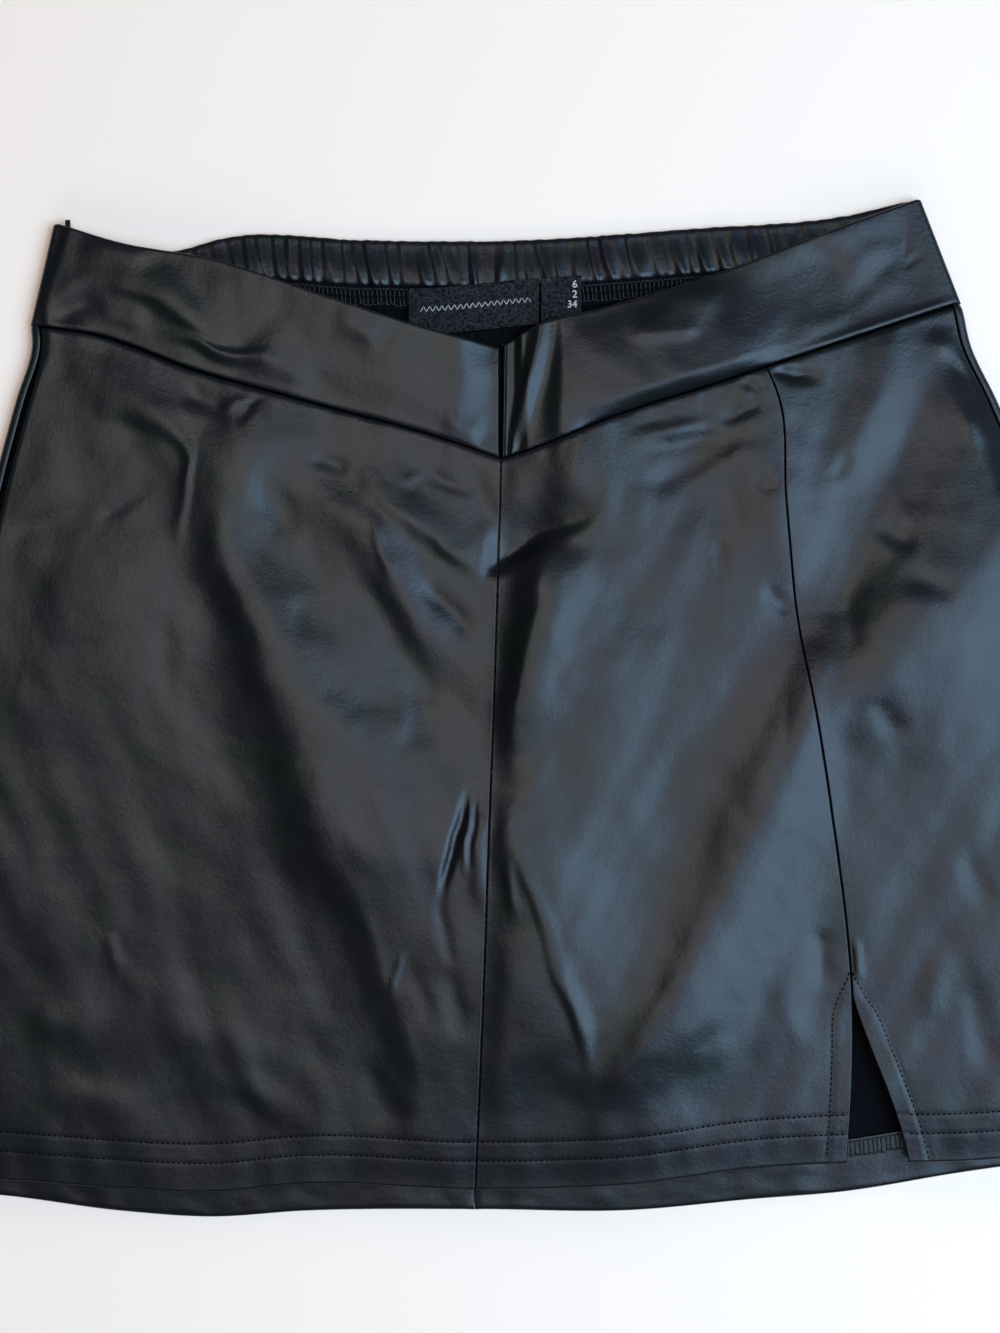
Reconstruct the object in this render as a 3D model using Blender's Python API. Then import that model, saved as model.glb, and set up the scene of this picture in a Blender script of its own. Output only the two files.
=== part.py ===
"""A mini skirt of coated, leather-look cloth, laid flat on its back. All lengths are millimetres.

X runs across the skirt, Y from its hem (-) to its waist (+), and Z up from the surface it lies on.
The origin is under the middle of the skirt's box. The front lies on the back: a dipped, two-piece front
waistband over an elasticated back waistband, three front panels with a slit in the seam between
two of them, two back panels that roll over the side folds, and a concealed zip in the side seam at -X.
"""

from collections import namedtuple
from math import cos, exp, hypot, pi, sin

import bmesh
import bpy
import numpy as np

MM = 0.001

CLOTH = 1.2  # panels: the coated cloth and its turned hems
WAISTBAND_WALL = 1.9  # waistbands: two layers and their interlining
LABEL_WALL = 0.6
SEAM_GAP = 0.3  # between two pieces that are sewn together
SIDE_GAP = 0.5  # at the curved side seams

ROLL_RADIUS = 1.1  # the middle of the cloth, where the back turns over a side fold
ROLL_WIDTH = 3.5  # how far in from the fold the side seam lies
FRONT_LOW = 2 * ROLL_RADIUS  # the front cloth's underside, at the side seams
FRONT_LIFT = 2.3  # how much higher it lies at the middle of the skirt
LIFT_FROM_SIDE = 26.0  # the panels reach that height this far in from the side seams
LIFT_FROM_BAND_END = 9.0  # the waistband reaches it sooner, over the thick elastic
LIFT_FROM_HEM = 34.0  # and both reach it this far up from the hem
LIFT_AT_HEM = 0.25  # the share of the lift that is left at the hem

CASING_DEPTH = 18.0  # the elastic's casing, inside the back waistband
CASING_WALL = 1.1
CASING_INSET = 12.0  # its ends stop short of the side folds
OVERLOCK_DEPTH = 10.0  # the overlocked edge below the casing
GATHERS = 40
GATHER_HEIGHT = 0.5

PANEL_ROWS = 18  # cells down every panel
WAIST_MIDDLE = 120.0  # the height of the front waistband's middle

SLIT_TOP = -113.0
SLIT_SPREAD = 24.0  # how far the slit's far edge stands off, SLIT_DEPTH below its top
SLIT_DEPTH = 65.0

ZIP_TOP, ZIP_END = 136.0, -12.0
ZIP_OPENING = 2.0  # how far the zip's two folded lips part
ZIP_TAPER = 20.0  # they close over this length at each end
COIL_WIDTH = 1.2
TAPE_END_WIDTH, TAPE_END_LENGTH, TAPE_END_WALL = 1.8, 2.0, 1.8
TAPE_END_INSET = 3.2  # from the side fold

# The side folds and the front seams, section by section: y, then where each crosses it.
Section = namedtuple("Section", "y left centre slit right")
SECTIONS = (
    Section(-200, -247.0, -16.6, 127.7, 248.8),
    Section(-115, -239.6, -13.1, 130.8, 239.7),
    Section(-37, -229.0, -10.3, 122.0, 229.5),
    Section(41, -214.0, -7.6, 108.6, 215.0),
    Section(81, -204.0, -6.4, 104.6, 203.5),
    Section(120, -193.0, -5.8, 102.0, 188.0),
    Section(141, -187.5, -5.4, 93.5, 177.5),
    Section(157, -187.8, -5.3, 88.0, 173.0),
    Section(178, -182.5, -5.3, 88.0, 164.0),
    Section(200, -176.5, -5.3, 88.0, 156.0),
)

# The two hems, from side fold to side fold.
HemPoint = namedtuple("HemPoint", "x front back")
HEMS = (
    HemPoint(-248, -184.5, -187.0),
    HemPoint(-201, -184.8, -190.0),
    HemPoint(-155, -188.0, -196.2),
    HemPoint(-120, -189.5, -198.5),
    HemPoint(-83, -186.2, -196.2),
    HemPoint(-14, -188.3, -195.2),
    HemPoint(44, -186.2, -195.4),
    HemPoint(93, -180.0, -191.1),
    HemPoint(128, -178.0, -188.2),
    HemPoint(173, -177.3, -181.0),
    HemPoint(248, -169.0, -171.0),
)

# The front waistband's halves, by share of their length from the side fold to the centre seam.
BandPoint = namedtuple("BandPoint", "share top seam")
LEFT_HALF = (
    BandPoint(0.00, 188.6, 148.8),
    BandPoint(0.14, 181.0, 144.8),
    BandPoint(0.34, 174.8, 131.6),
    BandPoint(0.61, 159.5, 117.8),
    BandPoint(0.87, 145.5, 104.8),
    BandPoint(1.00, 140.0, 96.6),
)
RIGHT_HALF = (
    BandPoint(0.00, 198.2, 157.4),
    BandPoint(0.20, 186.3, 145.6),
    BandPoint(0.45, 170.8, 130.6),
    BandPoint(0.75, 155.8, 113.2),
    BandPoint(0.93, 147.6, 100.6),
    BandPoint(1.00, 141.0, 96.6),
)

# The back waistband's top edge, and the seam below it, from side fold to side fold.
BackPoint = namedtuple("BackPoint", "x top seam")
BACK_BAND = (
    BackPoint(-188, 188.0, 148.6),
    BackPoint(-178, 187.6, 147.4),
    BackPoint(-156, 179.5, 145.2),
    BackPoint(-133, 178.6, 143.6),
    BackPoint(-114, 183.6, 142.8),
    BackPoint(-60, 182.6, 142.0),
    BackPoint(-6, 182.3, 142.3),
    BackPoint(68, 187.0, 146.6),
    BackPoint(130, 192.3, 152.4),
    BackPoint(156, 198.0, 155.4),
    BackPoint(173, 198.3, 157.2),
)

# The largest folds of the front: a straight ridge or, with a rise below nought, a trough.
Fold = namedtuple("Fold", "x0 y0 x1 y1 rise width")
FOLDS = (
    Fold(-123, 92, -108, -5, -0.9, 9),
    Fold(-108, -5, -51, -126, -1.0, 9),
    Fold(-84, 41, -45, -99, 0.5, 11),
    Fold(-14, -36, -45, -114, -0.8, 6),
    Fold(-6, -40, 29, -146, 0.4, 8),
    Fold(103, 10, 33, -150, -1.0, 8),
    Fold(87, 41, 33, -114, 0.4, 12),
    Fold(185, 26, 48, -157, 0.4, 14),
    Fold(189, 88, 118, 26, -0.8, 13),
    Fold(165, 128, 110, 65, 0.3, 10),
)

# The two woven labels, sewn on along the casing's lower edge, and how deep they hang.
Label = namedtuple("Label", "name left right depth")
LABELS = (
    Label("neck_label", -40.0, 8.6, 18.0),
    Label("size_label", 9.6, 25.4, 19.0),
)


# Curves and lines of the pattern


def along(rows, key, value, at):
    """The value column where the key column is `at`, on a smooth curve through the rows."""
    keys = np.array([getattr(row, key) for row in rows], float)
    values = np.array([getattr(row, value) for row in rows], float)
    slopes = np.gradient(values, keys)
    i = int(np.clip(np.searchsorted(keys, at) - 1, 0, len(keys) - 2))
    span = keys[i + 1] - keys[i]
    t = min(max((at - keys[i]) / span, 0.0), 1.0)
    start = (2 * t**3 - 3 * t**2 + 1) * values[i] + (t**3 - 2 * t**2 + t) * span * slopes[i]
    end = (3 * t**2 - 2 * t**3) * values[i + 1] + (t**3 - t**2) * span * slopes[i + 1]
    return float(start + end)


def mix(a, b, share):
    return a + (b - a) * share


def ease(share):
    """Smoothly from 0 to 1."""
    share = min(max(share, 0.0), 1.0)
    return share * share * (3 - 2 * share)


def settle(x_at, y_at):
    """The height where an edge that runs down meets an edge that runs across."""
    y = y_at(x_at(0.0))
    for _ in range(12):
        y = y_at(x_at(y))
    return y


def edge(column, y):
    """Where a side fold or a front seam crosses this height."""
    return along(SECTIONS, "y", column, y)


def front_hem(x):
    return along(HEMS, "x", "front", x)


def back_hem(x):
    return along(HEMS, "x", "back", x)


def back_top(x):
    return along(BACK_BAND, "x", "top", x)


def back_seam(x):
    return along(BACK_BAND, "x", "seam", x)


def front_band_edge(column, x):
    """The front waistband's top edge or the seam below it, at x."""
    centre = edge("centre", WAIST_MIDDLE)
    side, rows = ("left", LEFT_HALF) if x < centre else ("right", RIGHT_HALF)
    fold = edge(side, getattr(rows[0], column))
    return along(rows, "share", column, (x - fold) / (centre - fold))


def front_waist_seam(x):
    return front_band_edge("seam", x)


def zip_opening(y):
    """How open the zip's seam is at this height: 0 above and below it, 1 along most of it."""
    return ease((ZIP_TOP - y) / ZIP_TAPER) * ease((y - ZIP_END) / ZIP_TAPER)


def left_side_seam(y):
    """The front's left panel starts inside the rolled edge, and the zip parts it from that."""
    return edge("left", y) + ROLL_WIDTH + SIDE_GAP + ZIP_OPENING * zip_opening(y)


def right_side_seam(y):
    return edge("right", y) - ROLL_WIDTH - SIDE_GAP


def slit_far_edge(y):
    """The side panel's slit edge: beside the seam above the slit, and swinging away below it."""
    below = max(0.0, SLIT_TOP - y) / SLIT_DEPTH
    swing = mix(below, ease(below), 0.35)
    return edge("slit", y) + SEAM_GAP / 2 + SLIT_SPREAD * swing


def fold_height(fold, x, y):
    """How much a fold lifts the cloth at a point. It fades out past its two ends."""
    run_x, run_y = fold.x1 - fold.x0, fold.y1 - fold.y0
    length = hypot(run_x, run_y)
    share = ((x - fold.x0) * run_x + (y - fold.y0) * run_y) / length**2
    off = abs((x - fold.x0) * run_y - (y - fold.y0) * run_x) / length
    fade = ease((share + 0.2) / 0.4) * ease((1.2 - share) / 0.4)
    return fold.rise * fade * exp(-((off / fold.width) ** 2))


def front_underside(x, y):
    """How high the front cloth's underside lies."""
    from_side = min(x - edge("left", y), edge("right", y) - x) - ROLL_WIDTH
    from_hem = y - front_hem(x)
    reach = mix(LIFT_FROM_SIDE, LIFT_FROM_BAND_END, ease((y - 90) / 50))
    lift = FRONT_LIFT * mix(LIFT_AT_HEM, 1.0, ease(from_hem / LIFT_FROM_HEM))
    folds = sum(fold_height(fold, x, y) for fold in FOLDS)
    return FRONT_LOW + max(ease(from_side / reach) * (lift + folds), 0.0)


# Flat shapes, and their thickness


def patch(across, down, left, right, top, bottom):
    """A flat grid of cells, `across` by `down`, stretched between four edges given by share."""
    mesh = bmesh.new()
    bmesh.ops.create_grid(mesh, x_segments=across, y_segments=down, size=0.5)
    corners = [[left(0), left(1)], [right(0), right(1)]]
    for point in mesh.verts:
        u, v = point.co.x + 0.5, 0.5 - point.co.y
        sides = mix(left(v), right(v), u)
        ends = mix(top(u), bottom(u), v)
        square = mix(mix(corners[0][0], corners[1][0], u), mix(corners[0][1], corners[1][1], u), v)
        point.co.x, point.co.y = sides + ends - square
    return mesh


def run(x_at, y_top, y_bottom):
    """An edge down the skirt, as points by share."""
    def point(share):
        y = mix(y_top, y_bottom, share)
        return np.array([x_at(y), y])
    return point


def rail(y_at, x_left, x_right):
    """An edge across the skirt, as points by share."""
    def point(share):
        x = mix(x_left, x_right, share)
        return np.array([x, y_at(x)])
    return point


def framed_patch(across, down, left_at, right_at, top_at, bottom_at):
    """A patch between two edges that run down the skirt and two that run across it."""
    top_left, top_right = settle(left_at, top_at), settle(right_at, top_at)
    end_left, end_right = settle(left_at, bottom_at), settle(right_at, bottom_at)
    return patch(
        across,
        down,
        run(left_at, top_left, end_left),
        run(right_at, top_right, end_right),
        rail(top_at, left_at(top_left), right_at(top_right)),
        rail(bottom_at, left_at(end_left), right_at(end_right)),
    )


def thicken(mesh, underside, wall):
    """Lifts a flat grid to its underside's height and gives it a wall, measured upwards."""
    for point in mesh.verts:
        point.co.z = underside(point.co.x, point.co.y)
    grown = bmesh.ops.extrude_face_region(mesh, geom=mesh.faces[:])
    for item in grown["geom"]:
        if isinstance(item, bmesh.types.BMVert):
            item.co.z += wall(item.co.x, item.co.y)
    bmesh.ops.recalc_face_normals(mesh, faces=mesh.faces[:])


def level(height):
    """The same height, or the same wall, at every point."""
    return lambda x, y: height


def finish(name, colour, roughness, coat=0.0):
    material = bpy.data.materials.new(name)
    material.use_nodes = True
    shader = material.node_tree.nodes["Principled BSDF"]
    shader.inputs["Base Color"].default_value = (*colour, 1.0)
    shader.inputs["Roughness"].default_value = roughness
    shader.inputs["Metallic"].default_value = 0.0
    shader.inputs["Coat Weight"].default_value = coat
    return material


def add_piece(name, mesh, material):
    bmesh.ops.scale(mesh, vec=(MM, MM, MM), verts=mesh.verts[:])
    data = bpy.data.meshes.new(name)
    mesh.to_mesh(data)
    mesh.free()
    data.materials.append(material)
    data.shade_smooth()
    data.set_sharp_from_angle(angle=pi / 4)
    piece = bpy.data.objects.new(name, data)
    piece.parent = skirt
    bpy.context.scene.collection.objects.link(piece)
    return piece


# The pieces


def back_panel(name, side, material):
    """A back panel, flat on the surface, whose outer edge rolls over the side fold to the side seam."""
    outward = -1 if side == "left" else 1
    flat_cells, arc_cells = 8, 4
    across = flat_cells + arc_cells + 1
    after_roll = ROLL_WIDTH - ROLL_RADIUS - CLOTH / 2

    def roll_middle(y):
        return edge(side, y) - outward * (ROLL_RADIUS + CLOTH / 2)

    def centre_seam(y):
        return edge("centre", y) + outward * SEAM_GAP / 2

    def top(x):
        return back_seam(x) - SIDE_GAP

    def rolled_top(x):
        return min(back_seam(x), front_waist_seam(x)) - SIDE_GAP - SEAM_GAP

    mesh = bmesh.new()
    bmesh.ops.create_grid(mesh, x_segments=across, y_segments=PANEL_ROWS, size=0.5)
    for point in mesh.verts:
        cell = round((point.co.x + 0.5) * across)
        down = 0.5 - point.co.y
        top_at = rolled_top if cell > flat_cells else top
        inner_y = mix(settle(centre_seam, top), settle(centre_seam, back_hem), down)
        fold_y = mix(settle(roll_middle, top_at), settle(roll_middle, back_hem), down)
        x = mix(centre_seam(inner_y), roll_middle(fold_y), min(cell / flat_cells, 1.0))
        y = mix(top_at(x), back_hem(x), down)
        turn = pi * min(max(cell - flat_cells, 0), arc_cells) / arc_cells
        x += outward * ROLL_RADIUS * sin(turn)
        if cell == across:
            x -= outward * after_roll
        point.co = (x, y, CLOTH / 2 + ROLL_RADIUS * (1 - cos(turn)))
    bmesh.ops.recalc_face_normals(mesh, faces=mesh.faces[:])
    piece = add_piece(name, mesh, material)
    wall = piece.modifiers.new("wall", "SOLIDIFY")
    wall.thickness = CLOTH * MM
    wall.offset = 0.0
    wall.use_even_offset = True
    return piece


def back_band(name, material):
    """The back waistband's outer layer, flat on the surface."""
    mesh = framed_patch(
        24, 2, lambda y: edge("left", y), lambda y: edge("right", y), back_top, back_seam
    )
    thicken(mesh, level(0.0), level(WAISTBAND_WALL))
    return add_piece(name, mesh, material)


def gathered_strip(name, from_top, depth, wall, height, material):
    """A strip inside the back waistband whose upper face rises and falls with the gathers."""
    start = edge("left", back_top(-180)) + CASING_INSET
    stop = edge("right", back_top(160)) - CASING_INSET

    def wall_at(x, y):
        wave = sin(2 * pi * GATHERS * (x - start) / (stop - start))
        return wall + height * (0.5 + 0.5 * wave)

    mesh = framed_patch(
        4 * GATHERS,
        1,
        lambda y: start,
        lambda y: stop,
        lambda x: back_top(x) - from_top,
        lambda x: back_top(x) - from_top - depth,
    )
    thicken(mesh, level(WAISTBAND_WALL + SEAM_GAP), wall_at)
    return add_piece(name, mesh, material)


def woven_label(label, material):
    """A label's strip, flat on the overlocked edge, which holds it along its top."""
    def top(x):
        return back_top(x) - CASING_DEPTH - SEAM_GAP

    mesh = framed_patch(
        6, 3, lambda y: label.left, lambda y: label.right, top, lambda x: top(x) - label.depth
    )
    overlock_top = WAISTBAND_WALL + SEAM_GAP + CASING_WALL / 2 + GATHER_HEIGHT / 2
    thicken(mesh, level(overlock_top + SEAM_GAP), level(LABEL_WALL))
    return add_piece(label.name, mesh, material)


def front_panel(name, across, left_at, right_at, material):
    """A front panel, between two seams that run down, the waist seam and the hem."""
    mesh = framed_patch(
        across, PANEL_ROWS, left_at, right_at, lambda x: front_waist_seam(x) - SEAM_GAP, front_hem
    )
    thicken(mesh, front_underside, level(CLOTH))
    return add_piece(name, mesh, material)


def front_band_half(name, side, material):
    """Half of the front waistband, from a side fold to the centre seam."""
    toward_side = -1 if side == "left" else 1
    centre = edge("centre", WAIST_MIDDLE) + toward_side * SEAM_GAP / 2
    rows = LEFT_HALF if side == "left" else RIGHT_HALF

    def end(share):
        y = mix(rows[0].top, rows[0].seam, share)
        return np.array([edge(side, y), y])

    def middle(share):
        return np.array([centre, mix(rows[-1].top, rows[-1].seam, share)])

    def band_edge(column):
        def point(share):
            at = share if side == "left" else 1 - share
            x = mix(edge(side, getattr(rows[0], column)), centre, at)
            return np.array([x, along(rows, "share", column, at)])
        return point

    left, right = (end, middle) if side == "left" else (middle, end)
    mesh = patch(16, 3, left, right, band_edge("top"), band_edge("seam"))
    thicken(mesh, front_underside, level(WAISTBAND_WALL))
    return add_piece(name, mesh, material)


def zip_coil(name, material):
    """The zip's closed coil, down between the front's folded edge and the rolled edge of the back."""
    top, end = ZIP_TOP - 1.4 * ZIP_TAPER, ZIP_END + 1.4 * ZIP_TAPER
    clearance = (ZIP_OPENING - SIDE_GAP - COIL_WIDTH) / 2

    def outer(y):
        return edge("left", y) + ROLL_WIDTH + SIDE_GAP + clearance

    mesh = framed_patch(
        1, 12, outer, lambda y: outer(y) + COIL_WIDTH, lambda x: top, lambda x: end
    )
    thicken(mesh, level(CLOTH + SEAM_GAP), level(CLOTH))
    return add_piece(name, mesh, material)


def zip_tape_end(name, material):
    """The folded end of the zip's tape, a small tab on the waist edge."""
    start = edge("left", LEFT_HALF[0].top) + TAPE_END_INSET
    foot = front_band_edge("top", start) + 2 * SEAM_GAP
    mesh = framed_patch(
        1,
        1,
        lambda y: start,
        lambda y: start + TAPE_END_WIDTH,
        lambda x: foot + TAPE_END_LENGTH,
        lambda x: foot,
    )
    thicken(mesh, level(FRONT_LOW), level(TAPE_END_WALL))
    return add_piece(name, mesh, material)


for old in list(bpy.data.objects):
    bpy.data.objects.remove(old)

skirt = bpy.data.objects.new("skirt", None)
bpy.context.scene.collection.objects.link(skirt)

coated_cloth = finish("coated_cloth", (0.028, 0.028, 0.03), 0.38, coat=0.2)
knit_back = finish("knit_back", (0.012, 0.012, 0.014), 0.85)
label_satin = finish("label_satin", (0.014, 0.014, 0.016), 0.5)
zip_nylon = finish("zip_nylon", (0.01, 0.01, 0.012), 0.45)

back_panel("back_left_panel", "left", coated_cloth)
back_panel("back_right_panel", "right", coated_cloth)
back_band("back_waistband", coated_cloth)
gathered_strip("elastic_casing", 0.0, CASING_DEPTH, CASING_WALL, GATHER_HEIGHT, coated_cloth)
gathered_strip(
    "overlocked_edge",
    CASING_DEPTH + SEAM_GAP,
    OVERLOCK_DEPTH,
    CASING_WALL / 2,
    GATHER_HEIGHT / 2,
    knit_back,
)
for woven in LABELS:
    woven_label(woven, label_satin)

front_panel(
    "front_left_panel", 16, left_side_seam, lambda y: edge("centre", y) - SEAM_GAP / 2, coated_cloth
)
front_panel(
    "front_centre_panel",
    12,
    lambda y: edge("centre", y) + SEAM_GAP / 2,
    lambda y: edge("slit", y) - SEAM_GAP / 2,
    coated_cloth,
)
front_panel("front_side_panel", 9, slit_far_edge, right_side_seam, coated_cloth)
front_band_half("front_waistband_left", "left", coated_cloth)
front_band_half("front_waistband_right", "right", coated_cloth)
zip_coil("zip_coil", zip_nylon)
zip_tape_end("zip_tape_end", zip_nylon)
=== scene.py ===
"""The finished surfaces of a mini skirt of coated, leather-look cloth, laid flat on its back.

Lengths are millimetres in the frame's own directions: X runs across the skirt, Y from its hem (-) to
its waist (+), and Z up from the floor. Each section makes one piece, or a group of like pieces, from
the floor up: the back, the inside of the waist, the front, its seams and stitches, then the light.
"""

from collections import namedtuple
from functools import partial
from math import pi

import bmesh
import bpy
import numpy as np
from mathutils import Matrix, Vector, noise


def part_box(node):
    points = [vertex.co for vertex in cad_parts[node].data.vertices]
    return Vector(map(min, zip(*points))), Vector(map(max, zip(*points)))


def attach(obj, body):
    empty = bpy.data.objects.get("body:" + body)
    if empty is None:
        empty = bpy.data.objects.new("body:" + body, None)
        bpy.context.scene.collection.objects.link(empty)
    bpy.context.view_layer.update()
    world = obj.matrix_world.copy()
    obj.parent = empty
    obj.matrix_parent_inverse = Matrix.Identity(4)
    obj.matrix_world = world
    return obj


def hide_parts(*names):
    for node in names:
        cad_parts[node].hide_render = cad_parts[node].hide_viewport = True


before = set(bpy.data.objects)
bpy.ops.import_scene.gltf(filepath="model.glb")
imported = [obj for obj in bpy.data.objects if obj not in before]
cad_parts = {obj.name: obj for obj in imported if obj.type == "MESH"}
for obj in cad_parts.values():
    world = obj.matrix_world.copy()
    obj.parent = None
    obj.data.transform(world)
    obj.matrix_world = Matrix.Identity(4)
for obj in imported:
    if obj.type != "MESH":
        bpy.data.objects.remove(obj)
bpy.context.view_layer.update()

MM = 0.001


def table(name, columns, *rows):
    """Rows of a table, with named columns."""
    row = namedtuple(name, columns)
    return tuple(row(*values) for values in rows)


# ------------------------------
# Back panels: the two halves of the back, coated knit with its black coating outside and the brushed
# knit inside. Each rolls over its side fold to the side seam, and its hem is turned up inside.

# The side folds and the front seams, section by section: y, then where each crosses it.
SECTIONS = table(
    "Section", "y left centre slit right",
    (-200, -247.0, -16.6, 127.7, 248.8),
    (-115, -239.6, -13.1, 130.8, 239.7),
    (-37, -229.0, -10.3, 122.0, 229.5),
    (41, -214.0, -7.6, 108.6, 215.0),
    (81, -206.0, -6.4, 104.6, 203.5),
    (120, -195.8, -5.8, 102.0, 188.0),
    (141, -189.6, -5.4, 93.5, 178.0),
    (157, -190.8, -5.3, 88.0, 174.2),
    (178, -184.4, -5.3, 88.0, 166.0),
    (200, -178.0, -5.3, 88.0, 158.0),
)

# The two hems, from side fold to side fold.
HEMS = table(
    "HemPoint", "x front back",
    (-248, -184.5, -189.0),
    (-201, -184.8, -192.0),
    (-155, -188.0, -198.0),
    (-120, -189.5, -200.3),
    (-83, -186.2, -198.0),
    (-14, -188.3, -197.4),
    (44, -186.2, -197.8),
    (93, -180.0, -193.4),
    (128, -178.0, -190.5),
    (173, -177.3, -183.2),
    (248, -169.0, -173.0),
)

# The back waistband's top edge, and the seam below it, from side fold to side fold.
BACK_BAND = table(
    "BackPoint", "x top seam",
    (-188, 188.0, 148.6),
    (-178, 187.6, 147.4),
    (-156, 179.5, 145.2),
    (-133, 178.6, 143.6),
    (-114, 183.6, 142.8),
    (-60, 182.6, 142.0),
    (-6, 182.3, 142.3),
    (68, 187.0, 146.6),
    (130, 192.3, 152.4),
    (156, 198.0, 155.4),
    (173, 198.3, 157.2),
)

# The front waistband's halves, by share of their length from the side fold to the centre seam.
LEFT_HALF = table(
    "BandPoint", "share top seam",
    (0.00, 188.6, 148.8),
    (0.14, 181.0, 144.8),
    (0.34, 174.8, 131.6),
    (0.61, 159.5, 117.8),
    (0.87, 145.5, 104.8),
    (1.00, 140.0, 96.6),
)
RIGHT_HALF = table(
    "BandPoint", "share top seam",
    (0.00, 198.2, 157.4),
    (0.20, 186.3, 145.6),
    (0.45, 170.8, 130.6),
    (0.75, 155.8, 113.2),
    (0.93, 147.6, 100.6),
    (1.00, 141.0, 96.6),
)

WALL = 0.5  # the coated cloth
SEAM_GAP = 0.24
SIDE_GAP = 0.5
TUCK = 1.6  # how far the panels' tops reach in behind the waistband
ROLL = 2.4  # the side fold's outer radius
ROLL_WIDTH = 3.5  # how far in from the fold the side seam lies
HEM_TURN = 0.6  # the turned hem's outer radius
HEM_DEPTH = 20.0
WAIST_MIDDLE = 120.0  # the height of the front waistband's middle


def along(rows, key, value, at):
    """The value column where the key column is `at`, on a smooth curve through the rows."""
    keys = np.array([getattr(row, key) for row in rows], float)
    values = np.array([getattr(row, value) for row in rows], float)
    slopes = np.gradient(values, keys)
    i = np.clip(np.searchsorted(keys, at) - 1, 0, len(keys) - 2)
    span = keys[i + 1] - keys[i]
    t = unit((at - keys[i]) / span)
    start = (2 * t**3 - 3 * t**2 + 1) * values[i] + (t**3 - 2 * t**2 + t) * span * slopes[i]
    end = (3 * t**2 - 2 * t**3) * values[i + 1] + (t**3 - t**2) * span * slopes[i + 1]
    return start + end


def mix(a, b, share):
    return a + (b - a) * share


def unit(share):
    return np.clip(share, 0, 1)


def ease(share):
    """Smoothly from 0 to 1."""
    share = unit(share)
    return share * share * (3 - 2 * share)


def settle(x_at, y_at):
    """The height where an edge that runs down meets an edge that runs across."""
    y = y_at(x_at(0.0))
    for _ in range(12):
        y = y_at(x_at(y))
    return y


def edge(column, y):
    return along(SECTIONS, "y", column, y)


front_hem = partial(along, HEMS, "x", "front")
back_hem = partial(along, HEMS, "x", "back")
back_top = partial(along, BACK_BAND, "x", "top")
back_seam = partial(along, BACK_BAND, "x", "seam")


def front_band_edge(column, x):
    """The front waistband's top edge or the seam below it, at x."""
    centre = edge("centre", WAIST_MIDDLE)
    left_fold = edge("left", getattr(LEFT_HALF[0], column))
    right_fold = edge("right", getattr(RIGHT_HALF[0], column))
    from_left = along(LEFT_HALF, "share", column, (x - left_fold) / (centre - left_fold))
    from_right = along(RIGHT_HALF, "share", column, (x - right_fold) / (centre - right_fold))
    return np.where(x < centre, from_left, from_right)


def bell(off, reach):
    """From 1 on a line down to nought away from it."""
    return np.exp(-((off / reach) ** 2))


def mottle(x, y, span, seed):
    """Smooth, uneven rises and dips of about this span, from -1 to 1."""
    x, y = np.broadcast_arrays(x, y)
    heights = [noise.noise((a / span, b / span, seed)) for a, b in zip(x.flat, y.flat)]
    return np.array(heights).reshape(x.shape)


def rolled(past, inward, radius):
    """Round a half turn: how far out a point lies, and how far from the turn's axis on its first side."""
    turn = np.clip(past / radius, 0, pi)
    beyond = np.maximum(past - pi * radius, 0)
    return (radius - inward) * np.sin(turn) - beyond, (radius - inward) * np.cos(turn)


def rounded(distance, radius):
    """How far an edge sinks this far in from it: a quarter turn down into its seam."""
    return radius * (1 - np.sqrt(1 - unit(1 - distance / radius) ** 2))


def framed(u, v, left_at, right_at, top_at, bottom_at):
    """Points by their shares across and down, between two edges that run down and two that run across."""
    top_left, top_right = settle(left_at, top_at), settle(right_at, top_at)
    end_left, end_right = settle(left_at, bottom_at), settle(right_at, bottom_at)
    left_y, right_y = mix(top_left, end_left, v), mix(top_right, end_right, v)
    top_x = mix(left_at(top_left), right_at(top_right), u)
    end_x = mix(left_at(end_left), right_at(end_right), u)
    square_x = mix(top_x, end_x, v)
    square_y = mix(mix(top_left, top_right, u), mix(end_left, end_right, u), v)
    x = mix(left_at(left_y), right_at(right_y), u) + mix(top_x, end_x, v) - square_x
    y = mix(left_y, right_y, u) + mix(top_at(top_x), bottom_at(end_x), v) - square_y
    return x, y


def linked(name, data):
    """A new object in the scene."""
    made = bpy.data.objects.new(name, data)
    bpy.context.scene.collection.objects.link(made)
    return made


def grid_mesh(name, across, down, size):
    cells = bmesh.new()
    bmesh.ops.create_grid(cells, x_segments=across, y_segments=down, size=size)
    mesh = bpy.data.meshes.new(name)
    cells.to_mesh(mesh)
    cells.free()
    return mesh


def add_sheet(name, across, down, place, wall, finishes, down_facing=False):
    """A sheet of cloth: a grid of cells whose outer face `place` lays out from shares across and down."""
    sheet = grid_mesh(name, across, down, 0.5)
    flat = np.empty(len(sheet.vertices) * 3, np.float32)
    sheet.vertices.foreach_get("co", flat)
    flat = flat.reshape(-1, 3).astype(float)
    points = np.column_stack(place(flat[:, 0] + 0.5, 0.5 - flat[:, 1])) * MM
    sheet.vertices.foreach_set("co", points.astype(np.float32).ravel())
    if down_facing:
        sheet.flip_normals()
    sheet.shade_smooth()
    for finish in finishes:
        sheet.materials.append(finish)
    piece = linked(name, sheet)
    shell = piece.modifiers.new("wall", "SOLIDIFY")
    shell.thickness = wall * MM
    shell.offset = -1.0
    shell.material_offset = shell.material_offset_rim = len(finishes) - 1
    piece.modifiers.new("faces", "WEIGHTED_NORMAL").weight = 100
    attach(piece, "root")
    return piece


def arithmetic(operation, turned=False):
    """An operator for the class below. `turned` swaps its two sides."""

    def act(self, other):
        first, second = (other, self) if turned else (self, other)
        return self.node("Math", {"operation": operation}, {0: first, 1: second})

    return act


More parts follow.
